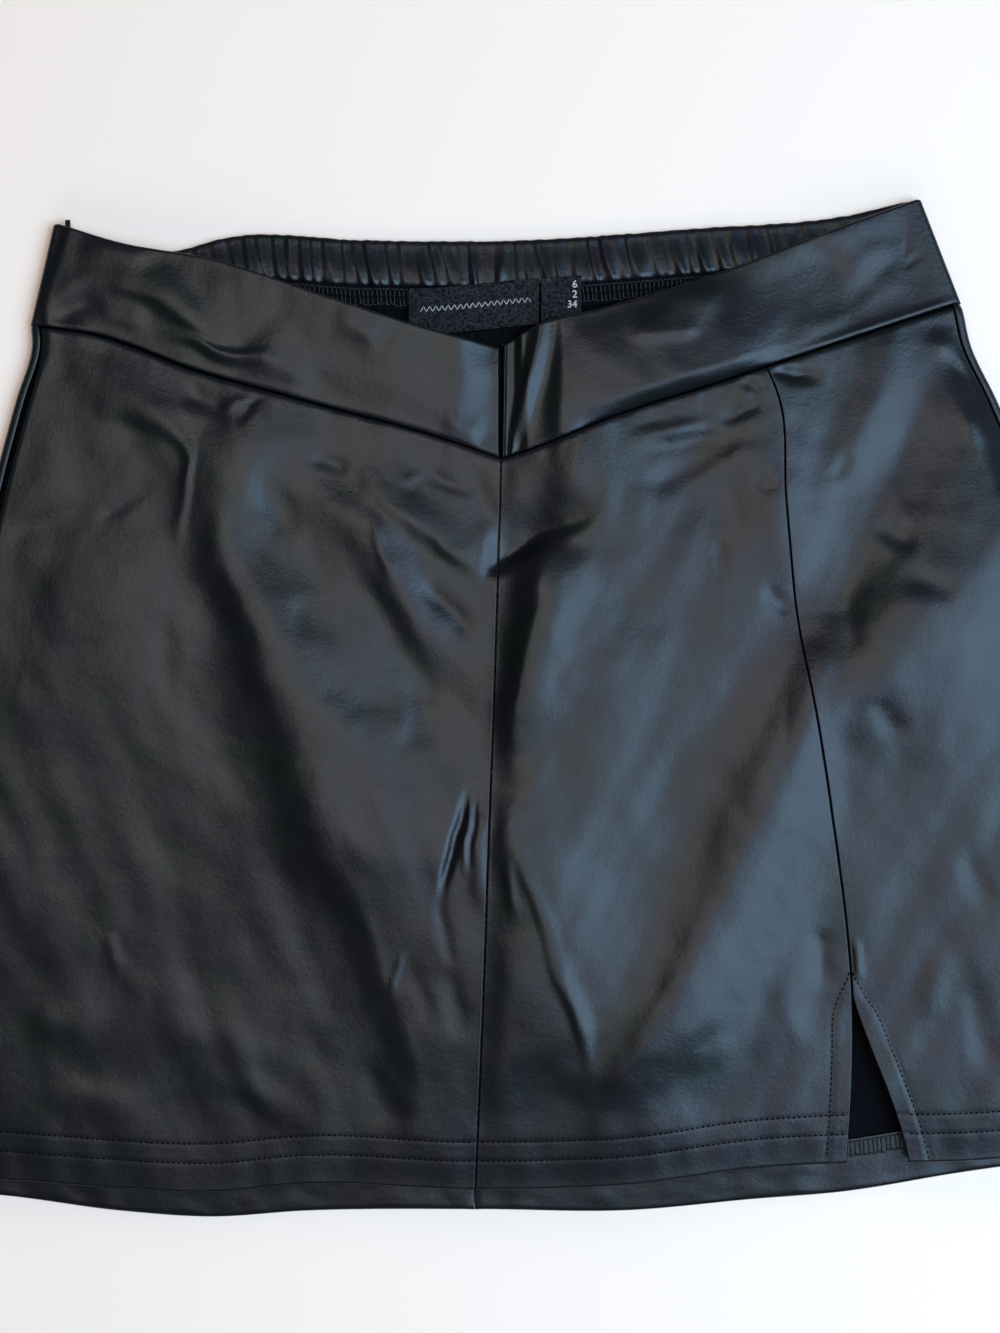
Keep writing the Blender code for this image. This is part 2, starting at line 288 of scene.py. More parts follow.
class Value:
    """What a shader node gives. Arithmetic on it adds Math nodes."""

    def __init__(self, tree, socket=None):
        self.tree = tree
        self.socket = socket

    def node(self, kind, settings=None, inputs=None, output=0):
        """Any other node. Its settings are set first, then its sockets get values or links."""
        made = self.tree.nodes.new("ShaderNode" + kind)
        for name, setting in (settings or {}).items():
            setattr(made, name, setting)
        for name, given in (inputs or {}).items():
            self.feed(made.inputs[name], given)
        return Value(self.tree, made.outputs[output])

    def feed(self, socket, given):
        if isinstance(given, Value):
            self.tree.links.new(given.socket, socket)
        else:
            socket.default_value = given

    def give(self, name, given):
        """Sets or links one of the shader's own sockets."""
        self.feed(self.tree.nodes["Principled BSDF"].inputs[name], given)

    __add__, __radd__ = arithmetic("ADD"), arithmetic("ADD", True)
    __sub__, __rsub__ = arithmetic("SUBTRACT"), arithmetic("SUBTRACT", True)
    __mul__, __rmul__ = arithmetic("MULTIPLY"), arithmetic("MULTIPLY", True)

    def noise(self, scale, detail=2.0):
        return self.node("TexNoise", None, {"Vector": self, "Scale": scale, "Detail": detail})

    def waves(self, direction, scale, distortion):
        sockets = {"Vector": self, "Scale": scale, "Distortion": distortion}
        return self.node("TexWave", {"bands_direction": direction}, sockets)

    def blend(self, low, high):
        """A colour between two, by this value."""
        ends = {"Factor": self, 6: (*low, 1.0), 7: (*high, 1.0)}
        return self.node("Mix", {"data_type": "RGBA"}, ends, 2)

    def dress(self, colour, relief, strength, distance):
        """Gives the shader its colour and its bumps."""
        self.give("Base Color", colour)
        sockets = {"Strength": strength, "Distance": distance, "Height": relief}
        self.give("Normal", self.node("Bump", None, sockets))


def new_finish(name, roughness, coat=0.0, coat_roughness=0.2, sheen=0.0, specular=0.5):
    """A material with what is the same all over set, and the place that its textures start from."""
    material = bpy.data.materials.new(name)
    material.use_nodes = True
    place = Value(material.node_tree).node("TexCoord", output=3)
    place.give("Roughness", roughness)
    place.give("Coat Weight", coat)
    place.give("Coat Roughness", coat_roughness)
    place.give("Sheen Weight", sheen)
    place.give("Specular IOR Level", specular)
    return material, place


def coated_cloth_finish():
    """Black polyurethane on knit: satin, with a fine grain, faint blooms and the knit printing through."""
    material, place = new_finish("coated_cloth", 0.4, coat=0.05, coat_roughness=0.35, specular=0.34)
    grain, print_through, bloom = place.noise(1300.0), place.noise(520.0), place.noise(60.0, 3.0)
    tint = (place.noise(45.0, 4.0) - 0.36) * 3.6
    place.give("Roughness", 0.25 + bloom * 0.1 + grain * 0.07)
    colour = tint.blend((0.0050, 0.0036, 0.0070), (0.0024, 0.0050, 0.0046))
    place.dress(colour, grain * 0.5 + print_through * 0.8, 0.7, 0.00015)
    return material


def knit_back_finish():
    """The brushed knit behind the coating: matt navy-black wales and courses."""
    material, place = new_finish("knit_back", 0.95, specular=0.05)
    wales, fuzz = place.waves("X", 400.0, 1.5), place.noise(900.0, 3.0)
    colour = fuzz.blend((0.0012, 0.0014, 0.0020), (0.0050, 0.0056, 0.0078))
    place.dress(colour, wales * 0.6 + fuzz * 0.6, 0.5, 0.0002)
    return material


coated_cloth = coated_cloth_finish()
knit_back = knit_back_finish()

BACK_CELLS, BACK_ROWS = 84, 126
BACK_FLAT_SHARE, BACK_MAIN_SHARE = 0.84, 0.88
BACK_LIFT = 0.7


def back_lift(x, y):
    """Where the back stands off the floor: soft, wide and uneven, and nought at its edges."""
    wide = np.sin(x / 31 + 0.8 * np.sin(y / 47)) * np.sin(y / 39 + x / 83 + 0.7)
    narrow = np.sin(x / 12 - y / 19 + 1.3 * np.sin(y / 33)) * np.sin(y / 27 - 0.4)
    inside = ease((np.minimum(x - edge("left", y), edge("right", y) - x) - 6) / 30)
    above_hem = ease((y - back_hem(x) - HEM_DEPTH) / 20)
    return BACK_LIFT * inside * above_hem * np.clip(0.45 + 0.4 * wide + 0.25 * narrow, 0, 1.2)


def turned_hem_ripple(x, y):
    """How unevenly the turned-up hem lies on the cloth below it."""
    up = ease((y - back_hem(x)) / HEM_DEPTH)
    uneven = 0.35 + 0.55 * mottle(x, y / 2, 13.0, 81.5) + 0.35 * mottle(x, y, 5.0, 83.5)
    return np.maximum(0.0, uneven + 0.4 * up)


def back_panel(side):
    outward = -1 if side == "left" else 1

    def roll_start(y):
        return edge(side, y) - outward * ROLL

    def centre_seam(y):
        return edge("centre", y) + outward * SEAM_GAP / 2

    def top(x):
        return back_seam(x) + TUCK

    def hem(x):
        return back_hem(x) + HEM_TURN

    def place(u, v):
        outer = u if side == "right" else 1 - u
        across, down = unit(outer / BACK_FLAT_SHARE), unit(v / BACK_MAIN_SHARE)
        beyond = unit((outer - BACK_FLAT_SHARE) / (1 - BACK_FLAT_SHARE))
        past_side = beyond * (pi * ROLL + (ROLL_WIDTH - ROLL))
        past_hem = unit((v - BACK_MAIN_SHARE) / (1 - BACK_MAIN_SHARE)) ** 1.3
        past_hem = past_hem * (pi * HEM_TURN + HEM_DEPTH)
        if side == "right":
            x, y = framed(across, down, centre_seam, roll_start, top, hem)
        else:
            x, y = framed(1 - across, down, roll_start, centre_seam, top, hem)
        lower_seam = np.minimum(back_seam(x), front_band_edge("seam", x))
        y = np.where(beyond > 0, mix(np.minimum(y, lower_seam + TUCK), y, down), y)
        tucked = (WALL + 0.2) * ease((y - lower_seam + 1.0) / 0.9)
        out, level = rolled(past_hem, 0.0, HEM_TURN)
        y = y - out
        from_centre = (x - centre_seam(y)) * outward
        seam_sink = np.where(past_hem > pi * HEM_TURN, -1, 1) * rounded(from_centre, 0.5)
        x_out, height = rolled(past_side, HEM_TURN - level + seam_sink + tucked, ROLL)
        ripple = turned_hem_ripple(x, y) * ease(past_hem / (pi * HEM_TURN) - 0.5) * (past_side == 0)
        return x + outward * x_out, y, ROLL - height + back_lift(x, y) + ripple

    panel = add_sheet(
        f"back_{side}_cloth", BACK_CELLS, BACK_ROWS, place, WALL, (coated_cloth, knit_back), True
    )
    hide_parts(f"back_{side}_panel")


def back_turn_surface(x, depth):
    """The turned-up hem's face, `depth` down from its raw edge."""
    y = back_hem(x) + HEM_DEPTH - depth
    return 2 * HEM_TURN + turned_hem_ripple(x, y) + back_lift(x, y)


back_panel("left")
back_panel("right")

# ------------------------------
# Back waistband: one strip of the coated cloth, folded over a flat elastic along its top edge, so
# that it stands in uneven upright gathers. Its inner turn is the elastic's casing.

BAND_FOLD = 1.9  # the fold round the elastic
CASING_DEPTH = 18.0
GATHER_RISE = 1.0
CASING_FALL = 1.0  # how much lower the fold lies than the casing's stitched edge
BAND_TOP_ENDS, BAND_SEAM_ENDS = (-176.5, 153.0), (-184.0, 169.5)
BAND_FOLD_SHARE, BAND_CASING_SHARE = 0.40, 0.56  # where up the sheet the fold starts, and the casing

# The gathers: x at the top edge, how high each stands, its width, and how far its foot leans across.
GATHERS = table(
    "Gather", "x rise width lean",
    (-136, 0.5, 1.6, 3.0), (-130, 0.8, 1.4, 3.2), (-124, 0.6, 1.3, 3.4), (-118, 0.9, 1.5, 3.8),
    (-112, 0.7, 1.3, 3.8), (-106, 1.0, 1.4, 4.0), (-100, 0.7, 1.5, 3.6), (-94, 0.9, 1.4, 3.2),
    (-89, 1.1, 1.8, 1.8), (-84, 0.8, 1.4, 1.6), (-79.5, 1.3, 1.2, 1.6), (-75, 0.8, 1.1, 1.4),
    (-72, 1.1, 1.9, 0.8), (-67.5, 0.7, 1.3, 1.8), (-63, 1.1, 1.4, 2.6), (-58.5, 1.4, 1.4, 3.6),
    (-55, 1.0, 1.0, 3.0), (-50.5, 1.0, 1.2, 3.4), (-45, 0.6, 1.6, 1.4), (-39, 1.3, 1.6, 4.6),
    (-33, 0.6, 1.3, 3.0), (-28, 1.1, 1.4, 4.4), (-21.5, 0.7, 1.8, 1.0), (-17.5, 1.7, 1.3, 2.0),
    (-11, 0.7, 1.8, 1.0), (-4.5, 1.2, 1.7, -2.6), (0.5, 1.1, 1.2, 1.4), (4, 0.6, 1.2, 1.8),
    (9, 1.1, 1.6, 4.4), (16, 0.6, 2.0, 3.0), (23.5, 0.8, 1.6, 3.0), (29, 1.0, 1.2, 3.4),
    (34, 1.4, 1.2, 4.6), (39, 0.7, 1.6, 5.0), (44, 1.2, 2.0, 5.0), (52.5, 1.1, 1.9, 5.2),
    (60.5, 1.1, 2.0, 5.2), (66, 0.6, 1.5, 5.0), (70, 1.3, 1.4, 5.2), (78, 1.2, 2.0, 5.0),
    (84, 1.0, 1.8, 5.0), (91.5, 1.3, 1.8, 5.2), (99.5, 1.4, 1.4, 4.8), (105, 1.0, 2.0, 4.6),
    (113.5, 1.1, 1.5, 4.4), (120, 0.8, 1.4, 3.8), (127, 0.9, 1.3, 3.2), (133, 0.6, 1.3, 3.0),
    (139, 0.5, 1.3, 2.6),
)


def gathering(x, depth):
    """The gathers' height, `depth` down from the top edge: fullest where the casing is stitched down."""
    low = unit(depth / CASING_DEPTH) ** 1.3
    total = sum(row.rise * bell(x - row.x - row.lean * low, row.width) for row in GATHERS)
    total = 0.85 * total + 0.7 * mottle(x - 3 * low, depth / 5, 2.4, 71.5)
    total = total + 0.5 * mottle(x - 3 * low, depth / 4, 6.0, 73.5)
    return total * mix(0.6, 1.0, low)


def band_place(u, v):
    """From the seam up the outside, over the fold and down the inside to the casing's stitching."""
    top_x, seam_x = mix(*BAND_TOP_ENDS, u), mix(*BAND_SEAM_ENDS, u)
    top, seam = back_top(top_x) - BAND_FOLD, back_seam(seam_x)
    up = unit(v / BAND_FOLD_SHARE)
    turn = unit((v - BAND_FOLD_SHARE) / (BAND_CASING_SHARE - BAND_FOLD_SHARE)) * pi
    down = unit((v - BAND_CASING_SHARE) / (1 - BAND_CASING_SHARE)) * (CASING_DEPTH - BAND_FOLD)
    out, level = rolled(turn * BAND_FOLD, 0.0, BAND_FOLD)
    x = mix(mix(seam_x, top_x, up), mix(top_x, seam_x, 0.4), down / 40)
    full = gathering(x, down)
    ends = ease(np.minimum(x + 178, 155 - x) / 10)
    y = mix(seam, top, up) + out - down + 0.35 * full * ends * np.sin(turn)
    outside = 0.5 * (1 - unit(gathering(x, CASING_DEPTH * (1 - up)))) * ends
    inside = (GATHER_RISE * (full - 0.45) - CASING_FALL * (1 - ease(down / 12))) * ends
    turned = 0.5 - 0.5 * level / BAND_FOLD
    stitched = 0.7 * bell(down - CASING_DEPTH + BAND_FOLD, 0.9) * (turned > 0.99)
    return x, y, BAND_FOLD - level + mix(outside, inside, turned) - stitched


back_band = add_sheet("back_waistband_cloth", 420, 46, band_place, WALL, (coated_cloth, knit_back))
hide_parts("back_waistband", "elastic_casing")

# ------------------------------
# Overlocked edge: the seam allowance below the casing, a strip of the cloth with its brushed side up,
# bound by black overlock thread. The gathers run on into it.

OVERLOCK_DEPTH = 9.5
OVERLOCK_LEVEL = 2.9
OVERLOCK_PITCH = 1.75
OVERLOCK_ENDS = (-160.0, 143.0)
THREAD = 0.34  # the thread's radius


def overlock_surface(x, depth):
    """The strip's height, `depth` down from its top."""
    rise = 0.55 * (gathering(x, CASING_DEPTH) - 0.4)
    return OVERLOCK_LEVEL + rise * mix(1.0, 0.5, depth / OVERLOCK_DEPTH)


def overlock_place(u, v):
    x = mix(*OVERLOCK_ENDS, u)
    depth = OVERLOCK_DEPTH * v
    y = back_top(x) - CASING_DEPTH - depth + 0.4
    return x, y, overlock_surface(x, depth)


overlock = add_sheet("overlocked_edge_cloth", 300, 8, overlock_place, WALL, (knit_back,))
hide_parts("overlocked_edge")


def thread_finish(name, specular):
    """Twisted black polyester thread, with a dull shine."""
    material, place = new_finish(name, 0.6, specular=specular)
    twist = place.waves("DIAGONAL", 1400.0, 0.5)
    place.dress(twist.blend((0.0015, 0.0015, 0.002), (0.005, 0.005, 0.006)), twist, 0.6, 0.00005)
    return material


overlock_black = thread_finish("overlock_black", 0.5)


def stitch_shape(sides, rings):
    """One stitch as points and faces, a small capsule along X, one unit long and one unit thick."""
    shape = bmesh.new()
    bmesh.ops.create_uvsphere(shape, u_segments=sides, v_segments=rings, radius=0.5)
    turn = Vector((0, 0, 1)).rotation_difference(Vector((1, 0, 0))).to_matrix()
    bmesh.ops.rotate(shape, cent=(0, 0, 0), matrix=turn, verts=shape.verts[:])
    points = np.array([point.co for point in shape.verts])
    points[:, 0] = 0.5 * np.sign(points[:, 0]) * np.abs(2 * points[:, 0]) ** 0.6
    faces = sorted([point.index for point in face.verts] for face in shape.faces)
    shape.free()
    return points, faces


def add_stitches(name, runs, thickness, finish, squash=1.0):
    """One joined mesh of stitches. Each run is its stitches' starts and ends, as rows of x, y and z."""
    points, faces = stitch_shape(6, 5)
    starts, ends = (np.vstack(side).astype(float) for side in zip(*runs))
    run = ends - starts
    forward = run / np.linalg.norm(run, axis=1, keepdims=True)
    across = np.column_stack((-forward[:, 1], forward[:, 0], np.zeros(len(forward))))
    across = across / np.linalg.norm(across, axis=1, keepdims=True)
    upward = np.cross(forward, across)
    spread = (
        ((starts + ends) / 2)[:, None, :]
        + points[None, :, 0:1] * run[:, None, :]
        + points[None, :, 1:2] * across[:, None, :] * thickness
        + points[None, :, 2:3] * upward[:, None, :] * thickness * squash
    )
    joined = [[i + len(points) * n for i in face] for n in range(len(starts)) for face in faces]
    mesh = bpy.data.meshes.new(name)
    mesh.from_pydata((spread.reshape(-1, 3) * MM).tolist(), [], joined)
    mesh.shade_smooth()
    mesh.materials.append(finish)
    piece = linked(name, mesh)
    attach(piece, "root")
    return piece


def overlock_stitches(name, low_x, high_x, y_at, surface, depth, lean):
    """Thread across an edge at even steps, over the surface, with a chain of links along each side."""
    x = np.arange(low_x, high_x, OVERLOCK_PITCH)
    ahead = np.append(x[1:], x[-1] + OVERLOCK_PITCH)
    lean = lean + 0.9 * mottle(x, 0.0, 1.1, 91.5)
    depth = depth * (1 + 0.16 * mottle(x, 3.0, 1.3, 93.5))

    def points(x, share, lean=0.0):
        height = surface(x, depth * share) + THREAD
        return np.column_stack((x + lean * share, y_at(x) - depth * share, height))

    runs = [(points(x, a, lean), points(x, b, lean)) for a, b in ((0.02, 0.5), (0.5, 0.98))]
    runs += [(points(x, share), points(ahead, share)) for share in (0.03, 0.97)]
    return add_stitches(name, runs, 2 * THREAD, overlock_black)


casing_overlock = overlock_stitches(
    "overlock_thread", -158.0, 141.0, lambda x: back_top(x) - CASING_DEPTH - 1.0, overlock_surface, 6.5, 0.5
)

# The same thread binds the raw edge of the back's turned-up hem.
overlock_stitches(
    "back_hem_overlock", -228.0, 228.0, lambda x: back_hem(x) + HEM_DEPTH - 0.2, back_turn_surface, 6.0, 0.6
)

# ------------------------------
# Labels: two black woven satin labels, folded in under the casing's stitching. The long one carries a
# plain woven border, and the small one three plain numbers.

LABELS = table(
    "Label", "name left right depth bow",
    ("neck_label", -42.0, 8.8, 18.0, 0.5),
    ("size_label", 9.6, 25.4, 19.0, 0.3),
)
LABEL_WALL = 0.35
LABEL_LEVEL = 4.3


def label_finish():
    """Charcoal satin, woven in fine ribs that run across."""
    material, place = new_finish("label_satin", 0.6, specular=0.07)
    ribs, slub = place.waves("Y", 900.0, 0.6), place.noise(1000.0)
    weave = (slub - 0.4) * 2.4 + ribs * 0.3
    place.dress(weave.blend((0.004, 0.004, 0.005), (0.044, 0.045, 0.052)), ribs + slub, 0.9, 0.00025)
    return material


def pale_thread_finish():
    material, place = new_finish("pale_label_thread", 0.6, sheen=0.2)
    slub = place.noise(1500.0)
    place.dress(slub.blend((0.30, 0.30, 0.31), (0.42, 0.42, 0.44)), slub, 0.5, 0.0001)
    return material


label_satin = label_finish()
pale_thread = pale_thread_finish()


def label_surface(label, x, depth):
    across = (x - label.left) / (label.right - label.left)
    bow = label.bow * np.sin(pi * across) * ease(depth / 8)
    return LABEL_LEVEL + bow + 0.25 * np.sin(3.1 * across + depth / 7)


def label_top(x):
    """The labels hang a little askew, higher towards the right."""
    return back_top(x) - CASING_DEPTH - 1.0 + 3.6 * ease((x + 42) / 52)


for label in LABELS:
    def place(u, v):
        x, depth = mix(label.left, label.right, u), label.depth * v
        return x, label_top(x) - depth, label_surface(label, x, depth)

    piece = add_sheet(f"{label.name}_cloth", 40, 16, place, LABEL_WALL, (label_satin,))
    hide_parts(label.name)

# A zigzag of stitches, woven across the long label.
neck, size = LABELS
BORDER_DEPTH, BORDER_HEIGHT, BORDER_PITCH, BORDER_LEAN = 8.2, 2.2, 2.4, 1.2
border_x = np.arange(neck.left + 4.5, neck.right - 4.0, BORDER_PITCH)


def border_points(x, lean, side):
    y = label_top(x) - BORDER_DEPTH + side * BORDER_HEIGHT / 2
    return np.column_stack((x + lean, y, label_surface(neck, x, BORDER_DEPTH)))


add_stitches(
    "neck_label_border",
    [
        (border_points(x, 0.0, -1), border_points(x, lean, 1))
        for x, lean in ((border_x, BORDER_LEAN), (border_x + BORDER_PITCH, -BORDER_LEAN))
    ],
    0.34,
    pale_thread,
    0.4,
)

# The small label's plain numbers, flat and barely proud of it.
NUMBER_SIZE, NUMBER_PITCH, NUMBER_PROUD = 4.0, 3.9, 0.06
NUMBER_INSET, NUMBER_DEPTH = 1.6, 4.6  # in from the label's right edge, and the first one's depth
for line, number in enumerate(("6", "2", "34")):
    name = f"label_number_{line}"
    curve = bpy.data.curves.new("label_number", "FONT")
    curve.body = number
    curve.size = NUMBER_SIZE * MM
    curve.extrude = curve.offset = NUMBER_PROUD * MM
    curve.align_x = "RIGHT"
    text = linked(name, curve)
    bpy.context.view_layer.update()
    mesh = bpy.data.meshes.new_from_object(text)
    bpy.data.objects.remove(text)
    x, depth = size.right - NUMBER_INSET, NUMBER_DEPTH + NUMBER_PITCH * line
    level = float(label_surface(size, x - 3, depth)) + NUMBER_PROUD
    corner = Vector((x, float(label_top(x)) - depth, level)) * MM
    for point in mesh.vertices:
        point.co += corner
    mesh.materials.clear()
    mesh.materials.append(pale_thread)
    digit = linked(name, mesh)
    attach(digit, "root")

# ------------------------------
# Front panels: three panels of the coated cloth, joined by a centre seam and a seam that opens into
# the slit. The cloth lies in folds that follow lines of points and in straight creases placed by
# their two ends, each with its rise and its two flanks.

SLIT_TOP = -113.0
SLIT_SPREAD = 24.0
SLIT_DEPTH = 65.0
SLIT_TURN = 8.0  # the turned edge's width
ZIP_TOP, ZIP_END = 142.0, -12.0
ZIP_OPENING = 1.8
ZIP_TAPER = 20.0

FRONT_LOW = 2 * ROLL  # the front's outer face where it meets the rolled back
FRONT_LIFT = 2.1
LIFT_TURN, LIFT_REACH = 4.5, 60.0  # a short round rise beside the side seam, then a long slow one
INSET = 15.0  # how far in from the side seam the creases have their full height
LIFT_FROM_HEM = 12.0
LIFT_AT_HEM = 0.8
FRONT_FLOOR = 2.6  # the lowest that the outer face comes to, over the back's turned hem
FRONT_CEILING = 16.0  # and the highest, on a crest
UPPER_HEM_ROW, LOWER_HEM_ROW = 19.0, 11.5  # the rows of stitches, above the hem
STITCH_DIP, STITCH_REACH = 0.14, 0.7  # how far stitches pull the cloth down, and how far beside them

# A fold follows a line of points. Each point gives how high it stands, or lies where that is below
# nought, and how far its flanks reach: first the one nearer -X, or -Y where the fold runs across.
fold = partial(table, "FoldPoint", "x y rise minus plus")

PANEL_FOLDS = (
    # the long fold of the left panel, whose left flank is steep
    fold(
        (-104, 126, 0, 14, 16), (-107, 110, 1.4, 16, 18), (-113, 92, 1.9, 16, 18),
        (-114.8, 74, 2.1, 13, 16), (-112, 56, 2.4, 10, 18), (-104.5, 40, 2.9, 10, 20),
        (-95.5, 20, 3.3, 13, 24), (-86, 0, 3.7, 18, 30), (-76.5, -20, 4.0, 21, 44),
        (-71, -40, 3.9, 21, 64), (-66.5, -56, 3.5, 18, 74), (-61.8, -71, 2.7, 14, 76),
        (-58.5, -82, 2.2, 11, 76), (-53, -96, 1.9, 10, 74), (-47, -112, 1.8, 10, 70),
        (-41, -128, 1.7, 10, 64), (-36, -146, 1.4, 11, 54), (-39, -166, 0.9, 13, 46),
        (-50, -192, 0.5, 14, 40),
    ),
    # the slow rise from it to the fold that spreads down from the centre seam
    fold(
        (-6, -20, 0, 70, 40), (0, -60, 1.4, 85, 50), (12, -90, 1.9, 90, 60), (22, -122, 1.8, 95, 60),
        (29, -143, 1.5, 95, 60), (32, -165, 1.2, 95, 60), (33, -200, 0.9, 95, 60),
    ),
    # from the zip down to it, ending as a thin ridge
    fold(
        (-178, 144, 0, 8, 7), (-162, 130, 0.6, 8, 9), (-148, 118, 0.9, 9, 8), (-136, 110, 0.8, 6, 5),
        (-128, 99, 0.6, 2.5, 1.1), (-129, 86, 0.5, 2.5, 1.0), (-131, 72, 0.3, 2.5, 1.2),
        (-131, 60, 0, 2.5, 1.2),
    ),
    # the left panel's outer fold
    fold(
        (-158, 70, 0, 16, 20), (-162, 48, 0.6, 20, 22), (-169, 24, 0.7, 20, 25), (-174, 4, 0.7, 20, 25),
        (-179, -24, 0, 14, 25),
    ),
    # the third fold, towards the centre
    fold(
        (-76, 88, 0, 8, 10), (-66, 78, 0.7, 9, 10), (-56, 68, 1.1, 10, 9), (-50, 56, 1.3, 10, 9),
        (-45, 44, 1.4, 8, 9), (-39, 30, 1.3, 7, 10), (-34, 18, 0.6, 6, 10), (-33, 6, 0, 5, 10),
    ),
    fold(
        (-62, 88, 0, 4, 5), (-48, 79, 0.7, 4, 6), (-34, 69, 0.9, 4, 7), (-22, 60, 0.8, 3.5, 7),
        (-14, 52, 0, 3, 6),
    ),
    # the fold under the centre of the waistband, running up to the right
    fold(
        (-14, 54, 0, 5, 10), (-4, 59, -2.6, 4, 12), (6, 65, -3.0, 4.5, 14), (15, 70, -2.4, 4.5, 13),
        (24, 75, -1.1, 5, 11), (34, 80, 0, 5, 10),
    ),
    fold(
        (27, 136, 0, 10, 18), (26, 108, 1.2, 12, 22), (23, 92, 1.3, 12, 24), (19, 76, 0.9, 12, 22),
        (16, 62, 0, 10, 16),
    ),
    # the upright fold right of the centre seam
    fold(
        (13, 64, 0, 6, 14), (10, 52, 1.7, 7, 14), (8, 36, 2.5, 6, 15), (6, 20, 2.6, 5.5, 15),
        (3, 6, 2.2, 5.5, 14), (-1, -10, 1.1, 5, 12), (-3, -22, 0, 4, 10),
    ),
    # the fold that spreads down from the centre seam, crisp along its left side
    fold(
        (-6, -34, 0, 5, 8), (-3, -48, 0.8, 6, 10), (2, -63, 1.2, 9, 18), (9, -83, 1.4, 15, 40),
        (16, -103, 1.7, 21, 46), (23, -124, 1.8, 23, 46), (29, -143, 1.2, 20, 34), (32, -158, 0, 8, 14),
    ),
    fold(
        (0, -56, 0, 1.6, 3), (8.5, -83, 0.7, 1.6, 4), (15.5, -103, 0.9, 1.8, 4), (23, -124, 0.7, 1.8, 4),
        (30, -146, 0, 1.6, 3),
    ),
    # the low ridge right of the centre seam
    fold(
        (1, 14, 0, 7, 12), (0, -8, 0.4, 7, 13), (0, -34, 0.6, 7, 13), (0, -60, 0.1, 7, 13),
        (0, -84, 0.4, 8, 13), (-1, -104, 0.9, 8, 14), (-2, -134, 0.9, 8, 14), (-4, -160, 0, 9, 14),
    ),
    # the broad, soft swell between it and the next
    fold(
        (30, 160, 0, 22, 46), (30, 130, 1.3, 24, 50), (26, 104, 1.5, 24, 50), (23, 84, 1.8, 24, 54),
        (21, 62, 2.2, 24, 56), (20, 42, 2.5, 24, 58), (17, 20, 2.7, 24, 58), (14, -14, 2.6, 24, 54),
        (16, -48, 1.7, 20, 40), (21, -84, 0.8, 14, 26), (25, -110, 0, 12, 20),
    ),
    # the long diagonal fold of the centre panel
    fold(
        (122, 34, 0, 10, 8), (114, 14, 2.0, 14, 10), (108, -6, 2.8, 17, 14), (101, -28, 3.3, 18, 20),
        (94, -48, 3.5, 17, 23), (85, -68, 3.5, 16, 24), (75, -88, 3.4, 14, 25), (65, -108, 3.2, 12, 26),
        (54, -128, 2.8, 10, 26), (45, -144, 1.9, 10, 26), (38, -160, 1.2, 11, 26), (35, -176, 0.9, 11, 28),
        (33, -196, 0.8, 11, 30),
    ),
    # the fold of the side panel, which runs down to the left
    fold(
        (104, -11, 0, 14, 14), (118, -2, 1.8, 17, 17), (130, 8, 3.3, 20, 18), (143, 20, 4.3, 26, 27),
        (162, 36, 5.0, 33, 40), (182, 54, 5.3, 38, 46), (200, 68, 4.9, 40, 48), (217, 83, 3.8, 40, 46),
        (234, 95, 0, 30, 34),
    ),
    fold(
        (154, 166, 0, 9, 9), (143, 132, 0.7, 9, 11), (137, 112, 1.0, 9, 12), (131, 96, 0.8, 9, 12),
        (124, 80, 0, 9, 12),
    ),
    fold((192, 146, 0, 16, 14), (194, 130, 1.0, 18, 14), (194, 114, 1.4, 20, 14), (192, 100, 0, 18, 12)),
    fold(
        (226, 50, 0, 60, 20), (222, 10, 1.6, 70, 20), (222, -80, 2.5, 75, 20), (226, -150, 1.9, 75, 20),
        (230, -196, 1.0, 70, 20),
    ),
    fold(
        (92, 172, 0, 12, 16), (96, 138, 1.5, 13, 18), (99, 112, 1.9, 14, 20), (101, 88, 2.4, 16, 20),
        (104, 64, 1.8, 14, 18), (108, 42, 0, 12, 16),
    ),
    # the dent above the hem of the left panel
    fold(
        (-113, -120, 0, 6, 8), (-109, -133, 0.5, 9, 9), (-107, -144, 0.5, 9, 9), (-97, -154, 0.6, 6, 7),
        (-86, -166, 0, 5, 5),
    ),
    fold(
        (-64, -130, 0, 8, 8), (-72, -148, 0.4, 11, 9), (-78, -166, 0.5, 14, 8), (-80, -186, 0.5, 14, 7),
        (-80, -200, 0.7, 14, 7),
    ),
)

FOLD_GAIN, CREASE_GAIN = 1.65, 0.8  # the panels' folds and creases stand this many times their rises

# A smaller crease runs straight from one end to the other. `minus` and `plus` are its flanks' reach.
straight = partial(table, "Crease", "x0 y0 x1 y1 rise minus plus")

